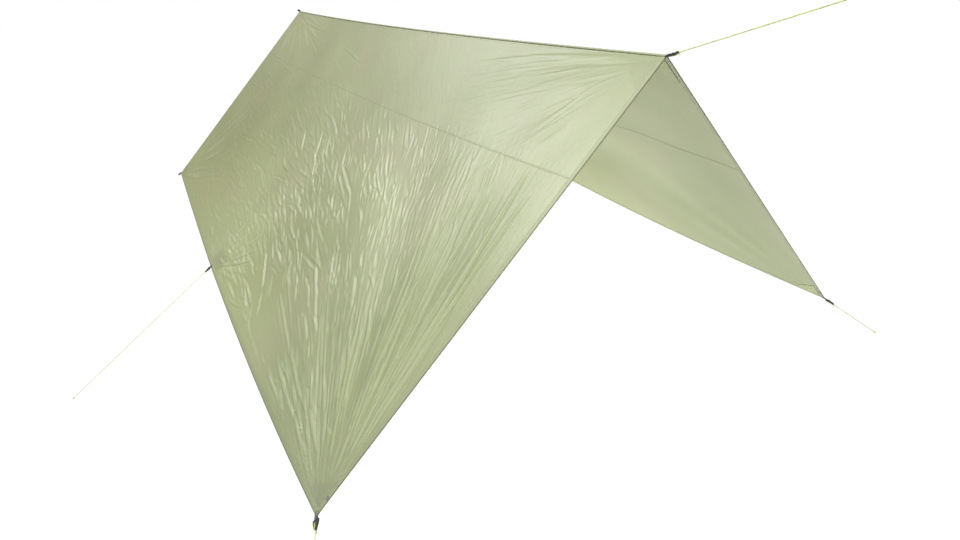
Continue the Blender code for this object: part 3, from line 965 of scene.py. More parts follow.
            streaks = add_node(tree, "ShaderNodeTexNoise", long, noise_dimensions="2D")
            ends = {"Value": reach, "From Min": 0.10, "From Max": end, "To Min": 1.0, "To Max": 0.25}
            fade = add_node(tree, "ShaderNodeMapRange", ends)
            depth = add_node(tree, "ShaderNodeMath", (streaks, fade), operation="MULTIPLY")
            raised = {"Height": depth, "Distance": height * self.folds, "Strength": 0.7, "Normal": normal}
            normal = add_node(tree, "ShaderNodeBump", raised)
        return normal


@dataclass(frozen=True)
class PlainFinish:
    """A finish of one colour with fine grain on object coordinates.

    Attributes:
        name: What the material is.
        light: Colour of its high spots.
        shade: Colour of its low spots.
        roughness: How dull it is.
        grain: Size of the grain, in metres.
        depth: Height of the grain, in metres.
        sheen: Weight of the soft sheen of fibres.
    """

    name: str
    light: str
    shade: str
    roughness: float
    grain: float
    depth: float
    sheen: float = 0.0

    def build(self) -> Material:
        """Make the material.

        Returns:
            The material.
        """
        made, tree, shader = new_material(self.name)
        place = add_node(tree, "ShaderNodeTexCoord").outputs["Object"]
        grain = add_node(tree, "ShaderNodeTexNoise", {"Vector": place, "Scale": 1.0 / self.grain, "Detail": 3.0})
        paints = {0: grain, 6: linear(self.shade), 7: linear(self.light)}
        colour = add_node(tree, "ShaderNodeMix", paints, data_type="RGBA")
        bump = add_node(tree, "ShaderNodeBump", {"Height": grain, "Distance": self.depth, "Strength": 0.6})
        feed(shader, {"Base Color": colour, "Normal": bump})
        feed(shader, {"Roughness": self.roughness, "Sheen Weight": self.sheen})
        return made


@dataclass(frozen=True)
class WebbingFinish:
    """Flat-woven polypropylene webbing: matt, with a rib for each weft thread and a herringbone of warp.

    Attributes:
        name: What the material is.
        light: Colour of the threads' tops.
        shade: Colour between them, which is painted shade in the grooves.
        pitch: Spacing of the ribs, in metres.
        slant: How far the herringbone leans, along for each unit across.
        depth: Height of a rib, in metres.
    """

    name: str = "woven polypropylene webbing, black"
    light: str = "#2B2C2D"
    shade: str = "#0B0C0C"
    pitch: float = 0.0011
    slant: float = 0.7
    depth: float = 0.0002

    def build(self) -> Material:
        """Make the material, on the strap's own map in metres.

        Returns:
            The material.
        """
        made, tree, shader = new_material(self.name)
        strap = add_node(tree, "ShaderNodeUVMap", uv_map=STRAP_MAP)
        parts = add_node(tree, "ShaderNodeSeparateXYZ", (strap,)).outputs
        side = add_node(tree, "ShaderNodeMath", (parts["Y"],), operation="ABSOLUTE")
        run = add_node(tree, "ShaderNodeMath", (side, self.slant, parts["X"]), operation="MULTIPLY_ADD")
        turn = add_node(tree, "ShaderNodeMath", (run, 2 * math.pi / self.pitch), operation="MULTIPLY")
        wave = add_node(tree, "ShaderNodeMath", (turn,), operation="SINE")
        rib = add_node(tree, "ShaderNodeMapRange", {"Value": wave, "From Min": -1.0, "From Max": 1.0})
        # Painted shade: the colour darkens into the grooves between the ribs
        paints = {0: rib, 6: linear(self.shade), 7: linear(self.light)}
        colour = add_node(tree, "ShaderNodeMix", paints, data_type="RGBA")
        bump = add_node(tree, "ShaderNodeBump", {"Height": rib, "Distance": self.depth, "Strength": 0.9})
        feed(shader, {"Base Color": colour, "Normal": bump, "Roughness": 0.82, "Sheen Weight": 0.15})
        return made


@dataclass(frozen=True)
class CordFinish:
    """Braided polyester guy line: lime strands flecked with a darker green tracer.

    Attributes:
        name: What the material is.
        light: Colour of the strands' tops.
        shade: Colour between the strands, which is painted shade where they dip.
        tracer: Colour of the flecks.
        fleck: Length of a fleck, in metres.
    """

    name: str = "braided polyester guy line, lime"
    light: str = "#C3D061"
    shade: str = "#84942F"
    tracer: str = "#5F7A2E"
    fleck: float = 0.006

    def build(self) -> Material:
        """Make the material, on the braid attribute and on object coordinates.

        Returns:
            The material.
        """
        made, tree, shader = new_material(self.name)
        braid = add_node(tree, "ShaderNodeAttribute", attribute_name=BRAID).outputs["Fac"]
        # Painted shade: the colour darkens between the strands
        paints = {0: braid, 6: linear(self.shade), 7: linear(self.light)}
        strand = add_node(tree, "ShaderNodeMix", paints, data_type="RGBA")
        place = add_node(tree, "ShaderNodeTexCoord").outputs["Object"]
        flecks = add_node(tree, "ShaderNodeTexNoise", {"Vector": place, "Scale": 1.0 / self.fleck, "Detail": 1.0})
        ends = {"Value": flecks, "From Min": 0.52, "From Max": 0.62, "To Max": 0.7}
        marked = add_node(tree, "ShaderNodeMapRange", ends)
        paints = {0: marked, 6: strand, 7: linear(self.tracer)}
        colour = add_node(tree, "ShaderNodeMix", paints, data_type="RGBA")
        feed(shader, {"Base Color": colour, "Roughness": 0.6, "Sheen Weight": 0.2})
        return made


# Number inputs of the thread's tree, sections of a cord in one crossing of its strands, and points round it
THREAD_SIZES = ("Pitch", "Thread Length", "Thread Radius")
SECTIONS_PER_LAY = 6.0
CORD_SIDES = 16


def socket_id(tree: Tree, name: str) -> str:
    """Find the identifier of a tree's input from its name.

    Args:
        tree: The tree.
        name: Name of the input.

    Returns:
        The identifier.
    """
    return next(
        item.identifier
        for item in tree.interface.items_tree
        if item.item_type == "SOCKET" and item.in_out == "INPUT" and item.name == name
    )


def new_tree(name: str, sizes: tuple[str, ...], material: str) -> tuple[Tree, Sockets]:
    """Start a Geometry Nodes tree.

    Args:
        name: Its name.
        sizes: Names of its number inputs.
        material: Name of its material input.

    Returns:
        The tree and what comes in, by name.
    """
    tree = bpy.data.node_groups.new(name, "GeometryNodeTree")
    kinds = {"Geometry": "Geometry"} | dict.fromkeys(sizes, "Float") | {material: "Material"}
    for label, kind in kinds.items():
        tree.interface.new_socket(label, in_out="INPUT", socket_type=f"NodeSocket{kind}")
    tree.interface.new_socket("Geometry", in_out="OUTPUT", socket_type="NodeSocketGeometry")
    return tree, tree.nodes.new("NodeGroupInput").outputs


def finish_tree(tree: Tree, shape: Node, material: Socket) -> None:
    """End a Geometry Nodes tree: make its instances real, shade them smooth and give them their material.

    Args:
        tree: The tree.
        shape: The node that gives its geometry.
        material: What brings it in.
    """
    real = add_node(tree, "GeometryNodeRealizeInstances", (shape,))
    smooth = add_node(tree, "GeometryNodeSetShadeSmooth", (real,))
    dressed = add_node(tree, "GeometryNodeSetMaterial", {"Geometry": smooth, "Material": material})
    add_node(tree, "NodeGroupOutput", (dressed,))


def grown(
    name: str,
    paths: list[Array],
    tree: Tree,
    values: dict,
    lies: list[Array] | None = None,
    closed: bool = False,
) -> Object:
    """Run a Geometry Nodes tree over paths and keep the result as a plain mesh.

    Args:
        name: Name of the piece.
        paths: Points of each path.
        tree: The tree.
        values: Value of each named input.
        lies: Direction of the thread at each point of each path.
        closed: Whether each path closes on itself.

    Returns:
        The object, without its modifier.
    """
    edges, start = [], 0
    for path in paths:
        index = list(range(start, start + len(path)))
        edges += list(zip(index[:-1], index[1:]))
        if closed:
            edges.append((index[-1], index[0]))
        start += len(path)
    guide_mesh = bpy.data.meshes.new(f"{name}_guide")
    guide_mesh.from_pydata(np.concatenate(paths).tolist(), edges, [])
    if lies is not None:
        mark = guide_mesh.attributes.new(LIE, "FLOAT_VECTOR", "POINT")
        mark.data.foreach_set("vector", np.concatenate(lies).astype(np.float32).ravel())
    guide = linked(f"{name}_guide", guide_mesh)
    modifier = guide.modifiers.new("growth", "NODES")
    modifier.node_group = tree
    for label, value in values.items():
        modifier[socket_id(tree, label)] = value
    depsgraph = bpy.context.evaluated_depsgraph_get()
    mesh = bpy.data.meshes.new_from_object(guide.evaluated_get(depsgraph))
    mesh.name = name
    bpy.data.objects.remove(guide, do_unlink=True)
    return linked(name, mesh)


def thread_tree() -> Tree:
    """Build the tree that lays one short thread after another along a path.

    Returns:
        The tree.
    """
    tree, given = new_tree("sewn thread", THREAD_SIZES, "Thread")
    curve = add_node(tree, "GeometryNodeMeshToCurve", (given["Geometry"],))
    step = {"Curve": curve, "Length": given["Pitch"]}
    spaced = add_node(tree, "GeometryNodeResampleCurve", step, mode="LENGTH")
    lie = add_node(tree, "GeometryNodeInputNamedAttribute", {"Name": LIE}, data_type="FLOAT_VECTOR")
    turn = add_node(tree, "FunctionNodeAlignRotationToVector", {"Vector": lie}, axis="Z")
    bead = add_node(tree, "GeometryNodeMeshIcoSphere", {"Radius": 1.0, "Subdivisions": 1})
    half = add_node(tree, "ShaderNodeMath", (given["Thread Length"], 0.5), operation="MULTIPLY")
    size = add_node(tree, "ShaderNodeCombineXYZ", (given["Thread Radius"], given["Thread Radius"], half))
    laid = {"Points": spaced, "Instance": bead, "Rotation": turn, "Scale": size}
    finish_tree(tree, add_node(tree, "GeometryNodeInstanceOnPoints", laid), given["Thread"])
    return tree


def braid_tree() -> Tree:
    """Build the tree that turns a path into a braided cord, its strands raised and marked.

    Returns:
        The tree.
    """
    tree, given = new_tree("braided cord", ("Cord Radius", "Lay", "Strands", "Relief"), "Cord")
    curve = add_node(tree, "GeometryNodeMeshToCurve", (given["Geometry"],))
    step = add_node(tree, "ShaderNodeMath", (given["Lay"], SECTIONS_PER_LAY), operation="DIVIDE")
    fine = add_node(tree, "GeometryNodeResampleCurve", {"Curve": curve, "Length": step}, mode="LENGTH")
    section = {"Resolution": CORD_SIDES, "Radius": given["Cord Radius"]}
    ring = add_node(tree, "GeometryNodeCurvePrimitiveCircle", section)
    kept = {"data_type": "FLOAT", "domain": "POINT"}
    marked, read = [], []
    for shape, name, output in ((fine, "run", "Length"), (ring, "turn", "Factor")):
        place = add_node(tree, "GeometryNodeSplineParameter").outputs[output]
        mark = {"Geometry": shape, "Name": name, "Value": place}
        marked.append(add_node(tree, "GeometryNodeStoreNamedAttribute", mark, **kept))
        read.append(add_node(tree, "GeometryNodeInputNamedAttribute", {"Name": name}, data_type="FLOAT"))
    whole = {"Curve": marked[0], "Profile Curve": marked[1], "Fill Caps": True}
    tube = add_node(tree, "GeometryNodeCurveToMesh", whole)
    lays = add_node(tree, "ShaderNodeMath", (read[0], given["Lay"]), operation="DIVIDE")
    starts = add_node(tree, "ShaderNodeMath", (read[1], given["Strands"]), operation="MULTIPLY")
    waves = []
    for operation in ("ADD", "SUBTRACT"):
        wave = add_node(tree, "ShaderNodeMath", (lays, starts), operation=operation)
        wave = add_node(tree, "ShaderNodeMath", (wave, math.pi), operation="MULTIPLY")
        for shaped in ("SINE", "ABSOLUTE"):
            wave = add_node(tree, "ShaderNodeMath", (wave,), operation=shaped)
        waves.append(wave)
    strand = add_node(tree, "ShaderNodeMath", tuple(waves), operation="MULTIPLY")
    seen = add_node(
        tree, "GeometryNodeStoreNamedAttribute", {"Geometry": tube, "Name": BRAID, "Value": strand}, **kept
    )
    normal = add_node(tree, "GeometryNodeInputNormal")
    lift = add_node(tree, "ShaderNodeMath", (strand, given["Relief"]), operation="MULTIPLY")
    offset = add_node(tree, "ShaderNodeVectorMath", {0: normal, "Scale": lift}, operation="SCALE")
    moved = add_node(tree, "GeometryNodeSetPosition", {"Geometry": seen, "Offset": offset})
    finish_tree(tree, moved, given["Cord"])
    return tree


@dataclass(frozen=True)
class Photographer:
    """The camera at the photograph's place, with the photograph's framing.

    Attributes:
        place: Where the camera stands.
        yaw: Turn from +Y towards +X, in degrees.
        pitch: Tilt below the horizon, in degrees.
        roll: Roll of the camera, in degrees.
        focal: Focal length in pixels of the picture.
        offset: The optical axis from the picture's middle, in the same pixels, right and down.
        width: Width of the picture in pixels.
        reach: How far the camera sees.
    """

    place: tuple[float, float, float] = (-1.05317, -0.96390, 0.18697)
    yaw: float = 26.27
    pitch: float = 26.801
    roll: float = -2.822
    focal: float = 578.4
    offset: tuple[float, float] = (-38.1, -5.7)
    width: float = 960
    reach: float = 200.0

    def build(self) -> None:
        """Make the camera and set it as the scene's."""
        yaw, pitch, roll = (math.radians(v) for v in (self.yaw, self.pitch, self.roll))
        ahead = np.array([math.sin(yaw) * math.cos(pitch), math.cos(yaw) * math.cos(pitch), -math.sin(pitch)])
        right = np.array([math.cos(yaw), -math.sin(yaw), 0.0])
        up = np.cross(right, ahead)
        x = math.cos(roll) * right + math.sin(roll) * up
        y = -math.sin(roll) * right + math.cos(roll) * up
        data = bpy.data.cameras.new("photograph")
        data.sensor_width = 36.0
        data.lens = self.focal * data.sensor_width / self.width
        data.shift_x, data.shift_y = -self.offset[0] / self.width, self.offset[1] / self.width
        data.clip_end = self.reach
        camera = linked("photograph", data)
        camera.matrix_world = axes_matrix(x, y, -ahead, self.place)
        bpy.context.scene.camera = camera


@dataclass(frozen=True)
class Lamp:
    """One soft box.

    Attributes:
        name: Its name.
        place: Where it stands.
        target: What it is turned to.
        size: Length of its side.
        power: In watts.
        mirrored: Whether shiny cloth mirrors it.
    """

    name: str
    place: tuple[float, float, float]
    target: tuple[float, float, float]
    size: float
    power: float
    mirrored: bool = True

    def build(self) -> None:
        """Make the lamp."""
        data = bpy.data.lights.new(self.name, "AREA")
        data.size, data.energy = self.size, self.power
        lamp = linked(self.name, data)
        lamp.visible_camera, lamp.visible_glossy = False, self.mirrored
        towards = Vector(self.target) - Vector(self.place)
        lamp.matrix_world = Matrix.Translation(self.place) @ towards.to_track_quat("-Z", "Y").to_matrix().to_4x4()


@dataclass(frozen=True)
class Studio:
    """Pale floor, white surround and soft boxes.

    Attributes:
        floor_height: Level of the floor, under the longest guy line.
        floor_reach: Half the floor's side.
        floor_grey: How much of the lamps' light the floor gives back.
        floor_white: How white the camera sees it, beside that light.
        fill: Strength of the light from all round.
        lamps: The soft boxes, the last of them for the light that a pale floor throws up under the cloth.
    """

    floor_height: float = -2.3
    floor_reach: float = 60.0
    floor_grey: float = 0.08
    floor_white: float = 0.975
    fill: float = 0.38
    lamps: tuple[Lamp, ...] = (
        Lamp("sky box", (-3.4, 8.0, 5.6), (-0.3, 0.4, -0.3), 3.4, 535.0),
        Lamp("front box", (-1.5, -1.9, 2.1), (-0.5, 0.4, -0.6), 1.3, 188.0),
        Lamp("right box", (5.2, 1.2, 4.6), (0.5, 1.2, -0.4), 2.6, 260.0),
        Lamp("floor bounce", (-0.1, 0.9, -2.2), (0.0, 0.9, 0.0), 2.6, 104.0, mirrored=False),
    )

    def build(self) -> None:
        """Make the floor, the surround and the lamps."""
        reach, level = self.floor_reach, self.floor_height
        corners = [(x * reach, y * reach, level) for x, y in ((-1, -1), (1, -1), (1, 1), (-1, 1))]
        mesh = bpy.data.meshes.new("floor")
        mesh.from_pydata(corners, [], [(0, 1, 2, 3)])
        mesh.materials.append(self.floor_material())
        linked("floor", mesh)
        self.surround()
        for lamp in self.lamps:
            lamp.build()

    @staticmethod
    def seen_directly(tree: Tree) -> Node:
        """1 for what the camera sees, straight or by a mirror or glass.

        Args:
            tree: The tree that gets the nodes.

        Returns:
            The node that gives it.
        """
        path = add_node(tree, "ShaderNodeLightPath").outputs
        seen = path["Is Camera Ray"]
        for way in ("Is Glossy Ray", "Is Transmission Ray"):
            seen = add_node(tree, "ShaderNodeMath", (seen, path[way]), operation="MAXIMUM")
        return seen

    def floor_material(self) -> Material:
        """Matt white paper that reads white to the camera and still takes a shadow.

        Returns:
            The material.
        """
        made, tree, shader = new_material("matt white studio paper")
        grey = (self.floor_grey, self.floor_grey, self.floor_grey, 1.0)
        feed(shader, {"Base Color": grey, "Roughness": 1.0, "Specular IOR Level": 0.0})
        glow = add_node(tree, "ShaderNodeMath", (self.seen_directly(tree), self.floor_white), operation="MULTIPLY")
        light = add_node(tree, "ShaderNodeEmission", {"Strength": glow})
        feed(tree.nodes["Material Output"], (add_node(tree, "ShaderNodeAddShader", (shader, light)),))
        return made

    def surround(self) -> None:
        """White all round: the fill for the object, and strength 1 where the camera sees it."""
        world = bpy.data.worlds.new("white surround")
        bpy.context.scene.world = world
        world.use_nodes = True
        tree = world.node_tree
        ends = {"Value": self.seen_directly(tree), "To Min": self.fill, "To Max": 1.0}
        strength = add_node(tree, "ShaderNodeMapRange", ends)
        feed(tree.nodes["Background"], {"Strength": strength, "Color": (1.0, 1.0, 1.0, 1.0)})


@dataclass(frozen=True)
class TieOut:
    """Where a webbing loop leaves the cloth, how it is pulled, and the guy line that it holds.

    Attributes:
        name: Name of the tie-out.
        point: On the edge of the cloth.
        pull: Unit direction away from the cloth.
        out: Unit direction out of the cloth.
        body: Body that the webbing rides on.
        tail: How far the webbing goes on into the hem.
        bend: How far the loop turns from pull towards out, in radians.
        cord: Free length of the guy line, or 0 where there is none.
        looped: Whether the guy line ends in a tied loop.
    """

    name: str
    point: Array
    pull: Array
    out: Array
    body: str
    tail: float
    bend: float = 0.0
    cord: float = 0.0
    looped: bool = False

    @property
    def strap_frame(self) -> Matrix:
        """Matrix whose X is the pull, Y the width of the webbing and Z out of the cloth."""
        straight = axes_matrix(self.pull, np.cross(self.out, self.pull), self.out, self.point)
        return straight @ Matrix.Rotation(-self.bend, 4, "Y")

    @property
    def eye_frame(self) -> Matrix:
        """Matrix of the adjuster, with its origin on the bar's axis."""
        return self.strap_frame @ Matrix.Translation((WEBBING_REACH, 0, 0))

    @property
    def line_body(self) -> str:
        """Body that the adjuster and the guy line ride on."""
        return f"{self.name}_line"

    def placed(self, points: Array, at_eye: bool = True) -> Array:
        """Take points from the tie-out's own frame to the part's.

        Args:
            points: One row for each point.
            at_eye: Whether they are in the adjuster's frame, and otherwise in the webbing's.

        Returns:
            The same points in the part's frame.
        """
        matrix = np.array(self.eye_frame if at_eye else self.strap_frame)
        return points @ matrix[:3, :3].T + matrix[:3, 3]


def smooth_surface(slope: SlopeSurface) -> SlopeSurface:
    """The same slope without its small creases, which is what the part has."""
    return replace(slope, creases=())


def corner_tie_out(
    slope: SlopeSurface, place: str, pull_deg: float, cord: float = 0.0, looped: bool = False
) -> TieOut:
    """A corner's tie-out, pulled in the plane of the cloth.

    Args:
        slope: The slope.
        place: front or back.
        pull_deg: Pull from the ridge direction towards the free edge.
        cord: Free length of its guy line.
        looped: Whether that ends in a loop.

    Returns:
        The tie-out.
    """
    plain = smooth_surface(slope)
    along = 0.0 if place == "front" else RIDGE_LENGTH
    inset = CORNER_INSET if place == "front" else -CORNER_INSET
    _, run, fall, out = plain.frames(np.array(along + inset), np.array(SLOPE_LENGTH - CORNER_INSET))
    away = -run if place == "front" else run
    turn = math.radians(pull_deg)
    pull = away * math.cos(turn) + fall * math.sin(turn)
    pull = unit(pull - out * (pull @ out))
    point = plain.points(np.array(along), np.array(SLOPE_LENGTH))
    return TieOut(f"{slope.name}_{place}", point, pull, out, f"{slope.name}_slope", CORNER_TAIL, 0.0, cord, looped)


def mid_tie_out(slope: SlopeSurface, cord: float = 0.0) -> TieOut:
    """The tie-out in the middle of the free edge, pulled straight down the cloth.

    Args:
        slope: The slope.
        cord: Free length of its guy line.

    Returns:
        The tie-out.
    """
    plain = smooth_surface(slope)
    point, _, fall, _ = plain.frames(np.array(RIDGE_LENGTH / 2), np.array(SLOPE_LENGTH))
    run = np.array([0.0, 1.0, 0.0])
    fall = unit(fall - run * (fall @ run))
    out = -slope.sign * np.cross(run, fall)
    return TieOut(f"{slope.name}_mid", point, fall, out, f"{slope.name}_slope", MID_TAIL, 0.0, cord)


def ridge_tie_out(place: str, cord: float = 0.0, looped: bool = False) -> TieOut:
    """A tie-out at one end of the ridge, bent up towards what holds it.

    Args:
        place: front or back.
        cord: Free length of its guy line.
        looped: Whether that ends in a loop.

    Returns:
        The tie-out.
    """
    end, away = (0.0, -1.0) if place == "front" else (RIDGE_LENGTH, 1.0)
    point, pull = np.array([0.0, end, 0.0]), np.array([0.0, away, 0.0])
    up = np.array([0.0, 0.0, 1.0])
    return TieOut(f"ridge_{place}", point, pull, up, "ridge", RIDGE_TAIL, RIDGE_BEND, cord, looped)


TIE_OUTS = (
    ridge_tie_out("front", cord=0.380, looped=True),
    ridge_tie_out("back"),
    corner_tie_out(LEFT, "front", 28.0, cord=0.080, looped=True),
    mid_tie_out(LEFT, cord=0.760),
    corner_tie_out(LEFT, "back", 45.0),
    corner_tie_out(RIGHT, "front", 45.0, cord=0.155),
    mid_tie_out(RIGHT),
    corner_tie_out(RIGHT, "back", 45.0),
)


@dataclass
class GuyLine:
    """One guy line: its taut run, the turns round the adjuster, its knot and, where it has one, its loop.

    Attributes:
        tie: The tie-out that holds it.
        tree: The braid.
        material: The cord's material.
        lay: Length of one strand crossing, drawn coarser than the real 0.8 mm so that it shows.
        strands: Strand crossings round the cord.
        relief: How far a strand stands out.
        knot_turns: Turns of the line in its knot.
        knot_radius: From the knot's middle to the middle of a turn.
        knot_end: How far inside each end of the knot its turns end.
        knot_share: Part of the turns in which they widen from the line, at each end.
        thinner: Thickness of the line in its knot and round the adjuster, drawn tight, as a share of the cord's.
        step: Length of a section of the taut run.
        knot_points: Points of the knot's middle line.
        loop_points: Points of the loop's middle line.
        over: From the adjuster's middle to the line's where it lies on the plastic.
    """

    tie: TieOut
    tree: Tree
    material: Material
    lay: float = 0.0024
    strands: float = 6.0
    relief: float = 0.00016
    knot_turns: float = 3.4
    knot_radius: float = 0.0018
    knot_end: float = 0.0008
    knot_share: float = 0.10
    thinner: Span = (0.98, 0.96)
    step: float = 0.020
    knot_points: int = 90
    loop_points: int = 48
    over: float = 0.0034

    @property
    def length(self) -> float:
        """Length of the run with the part of it inside the knot."""
        return self.tie.cord + KNOT_LENGTH

    def braided(self, name: str, path: Array, closed: bool = False, scale: float = 1.0) -> Object:
        """Braid a cord along a path given in the adjuster's frame.

        Args:
            name: Name of the piece.
            path: Its middle line.
            closed: Whether it closes on itself.
            scale: Its thickness as a share of the cord's.

        Returns:
            The piece, riding on the line's body.
        """
        values = {
            "Cord Radius": (CORD_DIAMETER / 2 - self.relief / 2) * scale,
            "Lay": self.lay,
            "Strands": self.strands,
            "Relief": self.relief,
            "Cord": self.material,
        }
        made = grown(name, [self.tie.placed(path)], self.tree, values, closed=closed)
        return made

    def straight(self) -> Array:
        """Middle line of the taut run, which goes on through the knot.

        Returns:
            Its points in the adjuster's frame.
        """
        start = ADJUSTER_LENGTH + GAP
        steps = max(4, round(self.length / self.step))
        x = start + np.linspace(0.0, self.length, steps + 1)
        return np.stack([x, np.zeros_like(x), np.zeros_like(x)], -1)

    def knot_path(self) -> Array:
        """Close turns round the line, which draw up into a barrel knot.

        Returns:
            Their points in the adjuster's frame.
        """
        start = ADJUSTER_LENGTH + 2 * GAP + self.tie.cord
        t = np.linspace(0.0, 1.0, self.knot_points)
        angle = 2 * math.pi * self.knot_turns * t
        radius = self.knot_radius * np.minimum(1.0, np.minimum(t, 1 - t) / self.knot_share)
        x = start + self.knot_end + (KNOT_LENGTH - 2 * self.knot_end) * t
        return np.stack([x, radius * np.cos(angle), radius * np.sin(angle)], -1)

    def loop_path(self) -> Array:
        """The tied loop beyond the knot.

        Returns:
            Its points in the adjuster's frame.
        """
        middle = ADJUSTER_LENGTH + 2 * GAP + self.tie.cord + KNOT_LENGTH + GAP + CORD_DIAMETER / 2 + LOOP_LENGTH / 2
        angle = 2 * math.pi * np.arange(self.loop_points) / self.loop_points
        across = LOOP_WIDTH / 2 * np.sin(angle) * (1.0 - LOOP_TAPER * (1.0 - np.cos(angle)))
        return np.stack([middle + LOOP_LENGTH / 2 * np.cos(angle), across, np.zeros(self.loop_points)], -1)

    def wrap_path(self) -> Array:
        """The turns of the line through the adjuster's slot and round its crossbar.

        Returns:
            Their points in the adjuster's frame.
        """
        over = self.over
        rough = np.array([
            (0.0245, 0.0000, 0.0004), (0.0232, 0.0003, 0.0026), (0.0200, 0.0008, over),
            (0.0150, 0.0011, over), (0.0123, 0.0012, 0.0016), (0.0116, 0.0012, -0.0014),
            (0.0100, 0.0010, -over), (0.0072, 0.0004, -over), (0.0056, 0.0000, -0.0012),
            (0.0056, -0.0004, 0.0016), (0.0074, -0.0009, over), (0.0102, -0.0011, 0.0032),
            (0.0116, -0.0012, 0.0010), (0.0121, -0.0012, -0.0020), (0.0140, -0.0014, -over),
            (0.0190, -0.0020, -0.0036), (0.0240, -0.0028, -0.0046), (0.0285, -0.0034, -0.0062),
        ])  # fmt: skip
        return smooth_path(rough, 8)

    def build(self) -> None:
        name = f"{self.tie.name}_cord"
        run = self.straight()
        line = self.braided(name, run)
        knot = self.braided(f"{name}_knot", self.knot_path(), scale=self.thinner[0])
        wrap = self.braided(f"{name}_wrap", self.wrap_path(), scale=self.thinner[1])
        pieces = [knot, wrap]
        if self.tie.looped:
            loop = self.braided(f"{name}_loop", self.loop_path(), closed=True)
            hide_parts(f"{name}_loop")
            pieces.append(loop)
        for piece in (line, *pieces):
            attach(piece, self.tie.line_body)
        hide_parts(name)
        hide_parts(f"{name}_knot")
        path = self.tie.placed(run)
        LOG.info("guy line %s, %.3f m", name, self.length)


def smooth_path(points: Array, steps: int) -> Array:
    """Pass a smooth curve through points.

    Args:
        points: The points.
        steps: New points between each two.

    Returns:
        The finer path.
    """
    before = np.concatenate([[2 * points[0] - points[1]], points, [2 * points[-1] - points[-2]]])
    made = []
    for k in range(len(points) - 1):
        a, b, c, d = before[k : k + 4]
        for t in np.linspace(0.0, 1.0, steps, endpoint=False):
            made.append(
                0.5 * (2 * b + (c - a) * t + (2 * a - 5 * b + 4 * c - d) * t**2 + (3 * b - a - 3 * c + d) * t**3)
            )
    made.append(points[-1])
    return np.array(made)


@dataclass
class WebbingLoop:
    """One webbing loop, out of the hem, round the adjuster's bar and back.

    Attributes:
        tie: The tie-out.
        material: The webbing's material.
        edge: How far the long edges are rounded.
        inside: Half the space between its two layers in the hem.
        parting: How far inside the hem's edge the layers start to part, and how far outside they have parted.
        eye_points: Points of the eye round the bar.
        rim_angle: Edges sharper than this stay sharp.
    """

    tie: TieOut
    material: Material
    edge: float = 0.0004
    inside: float = 0.0003
    parting: Span = (0.002, 0.0012)
    eye_points: int = 33
    rim_angle: float = math.radians(50)

    def path(self) -> Array:
        """Middle line of the webbing in the strap's X and Z.

        Returns:
            One point for each section.
        """
        radius = BAR_RADIUS + BAR_CLEARANCE + WEBBING_THICKNESS / 2
        layer = (WEBBING_THICKNESS + GAP) / 2
        neck = WEBBING_REACH - NECK_LENGTH * radius
        angle = np.linspace(-EYE_OPEN, EYE_OPEN, self.eye_points)
        eye = np.stack([WEBBING_REACH + radius * np.cos(angle), radius * np.sin(angle)], -1)
        tail, inside = self.tie.tail, self.inside
        hidden, out = min(tail, self.parting[0]), self.parting[1]
        low = [(-tail, -inside), (-hidden, -inside), (out, -layer), (neck, -layer)]
        high = [(neck, layer), (out, layer), (-hidden, inside), (-tail, inside)]
        return smooth_path(np.concatenate([low, eye, high]), 3)

    def build(self) -> None:
        """Make the loop."""
        path = self.path()
        ahead = unit(np.gradient(path, axis=0))
        normal = np.stack([-ahead[:, 1], ahead[:, 0]], -1)
        half, thick, edge = WEBBING_WIDTH / 2, WEBBING_THICKNESS / 2, self.edge
        section = [
            (-half, -thick + edge), (-half + edge, -thick), (half - edge, -thick), (half, -thick + edge),
            (half, thick - edge), (half - edge, thick), (-half + edge, thick), (-half, thick - edge),
        ]  # fmt: skip
        rings = np.array(
            [[(p[0] + n[0] * z, y, p[1] + n[1] * z) for y, z in section] for p, n in zip(path, normal)]
        )
        name = f"{self.tie.name}_webbing"
        points = self.tie.placed(rings.reshape(-1, 3), at_eye=False)
        made = mesh_object(f"{name}_loop", points, tube_faces(len(path), len(section)), self.material)
        made.data.set_sharp_from_angle(angle=self.rim_angle)
        run = np.concatenate([[0.0], np.cumsum(np.linalg.norm(np.diff(path, axis=0), axis=1))])
        strap = np.array([[(s, y) for y, _ in section] for s in run]).reshape(-1, 2)
        store_map(made, STRAP_MAP, strap)
        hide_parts(name)
        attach(made, self.tie.body)
        LOG.info("webbing loop %s", name)


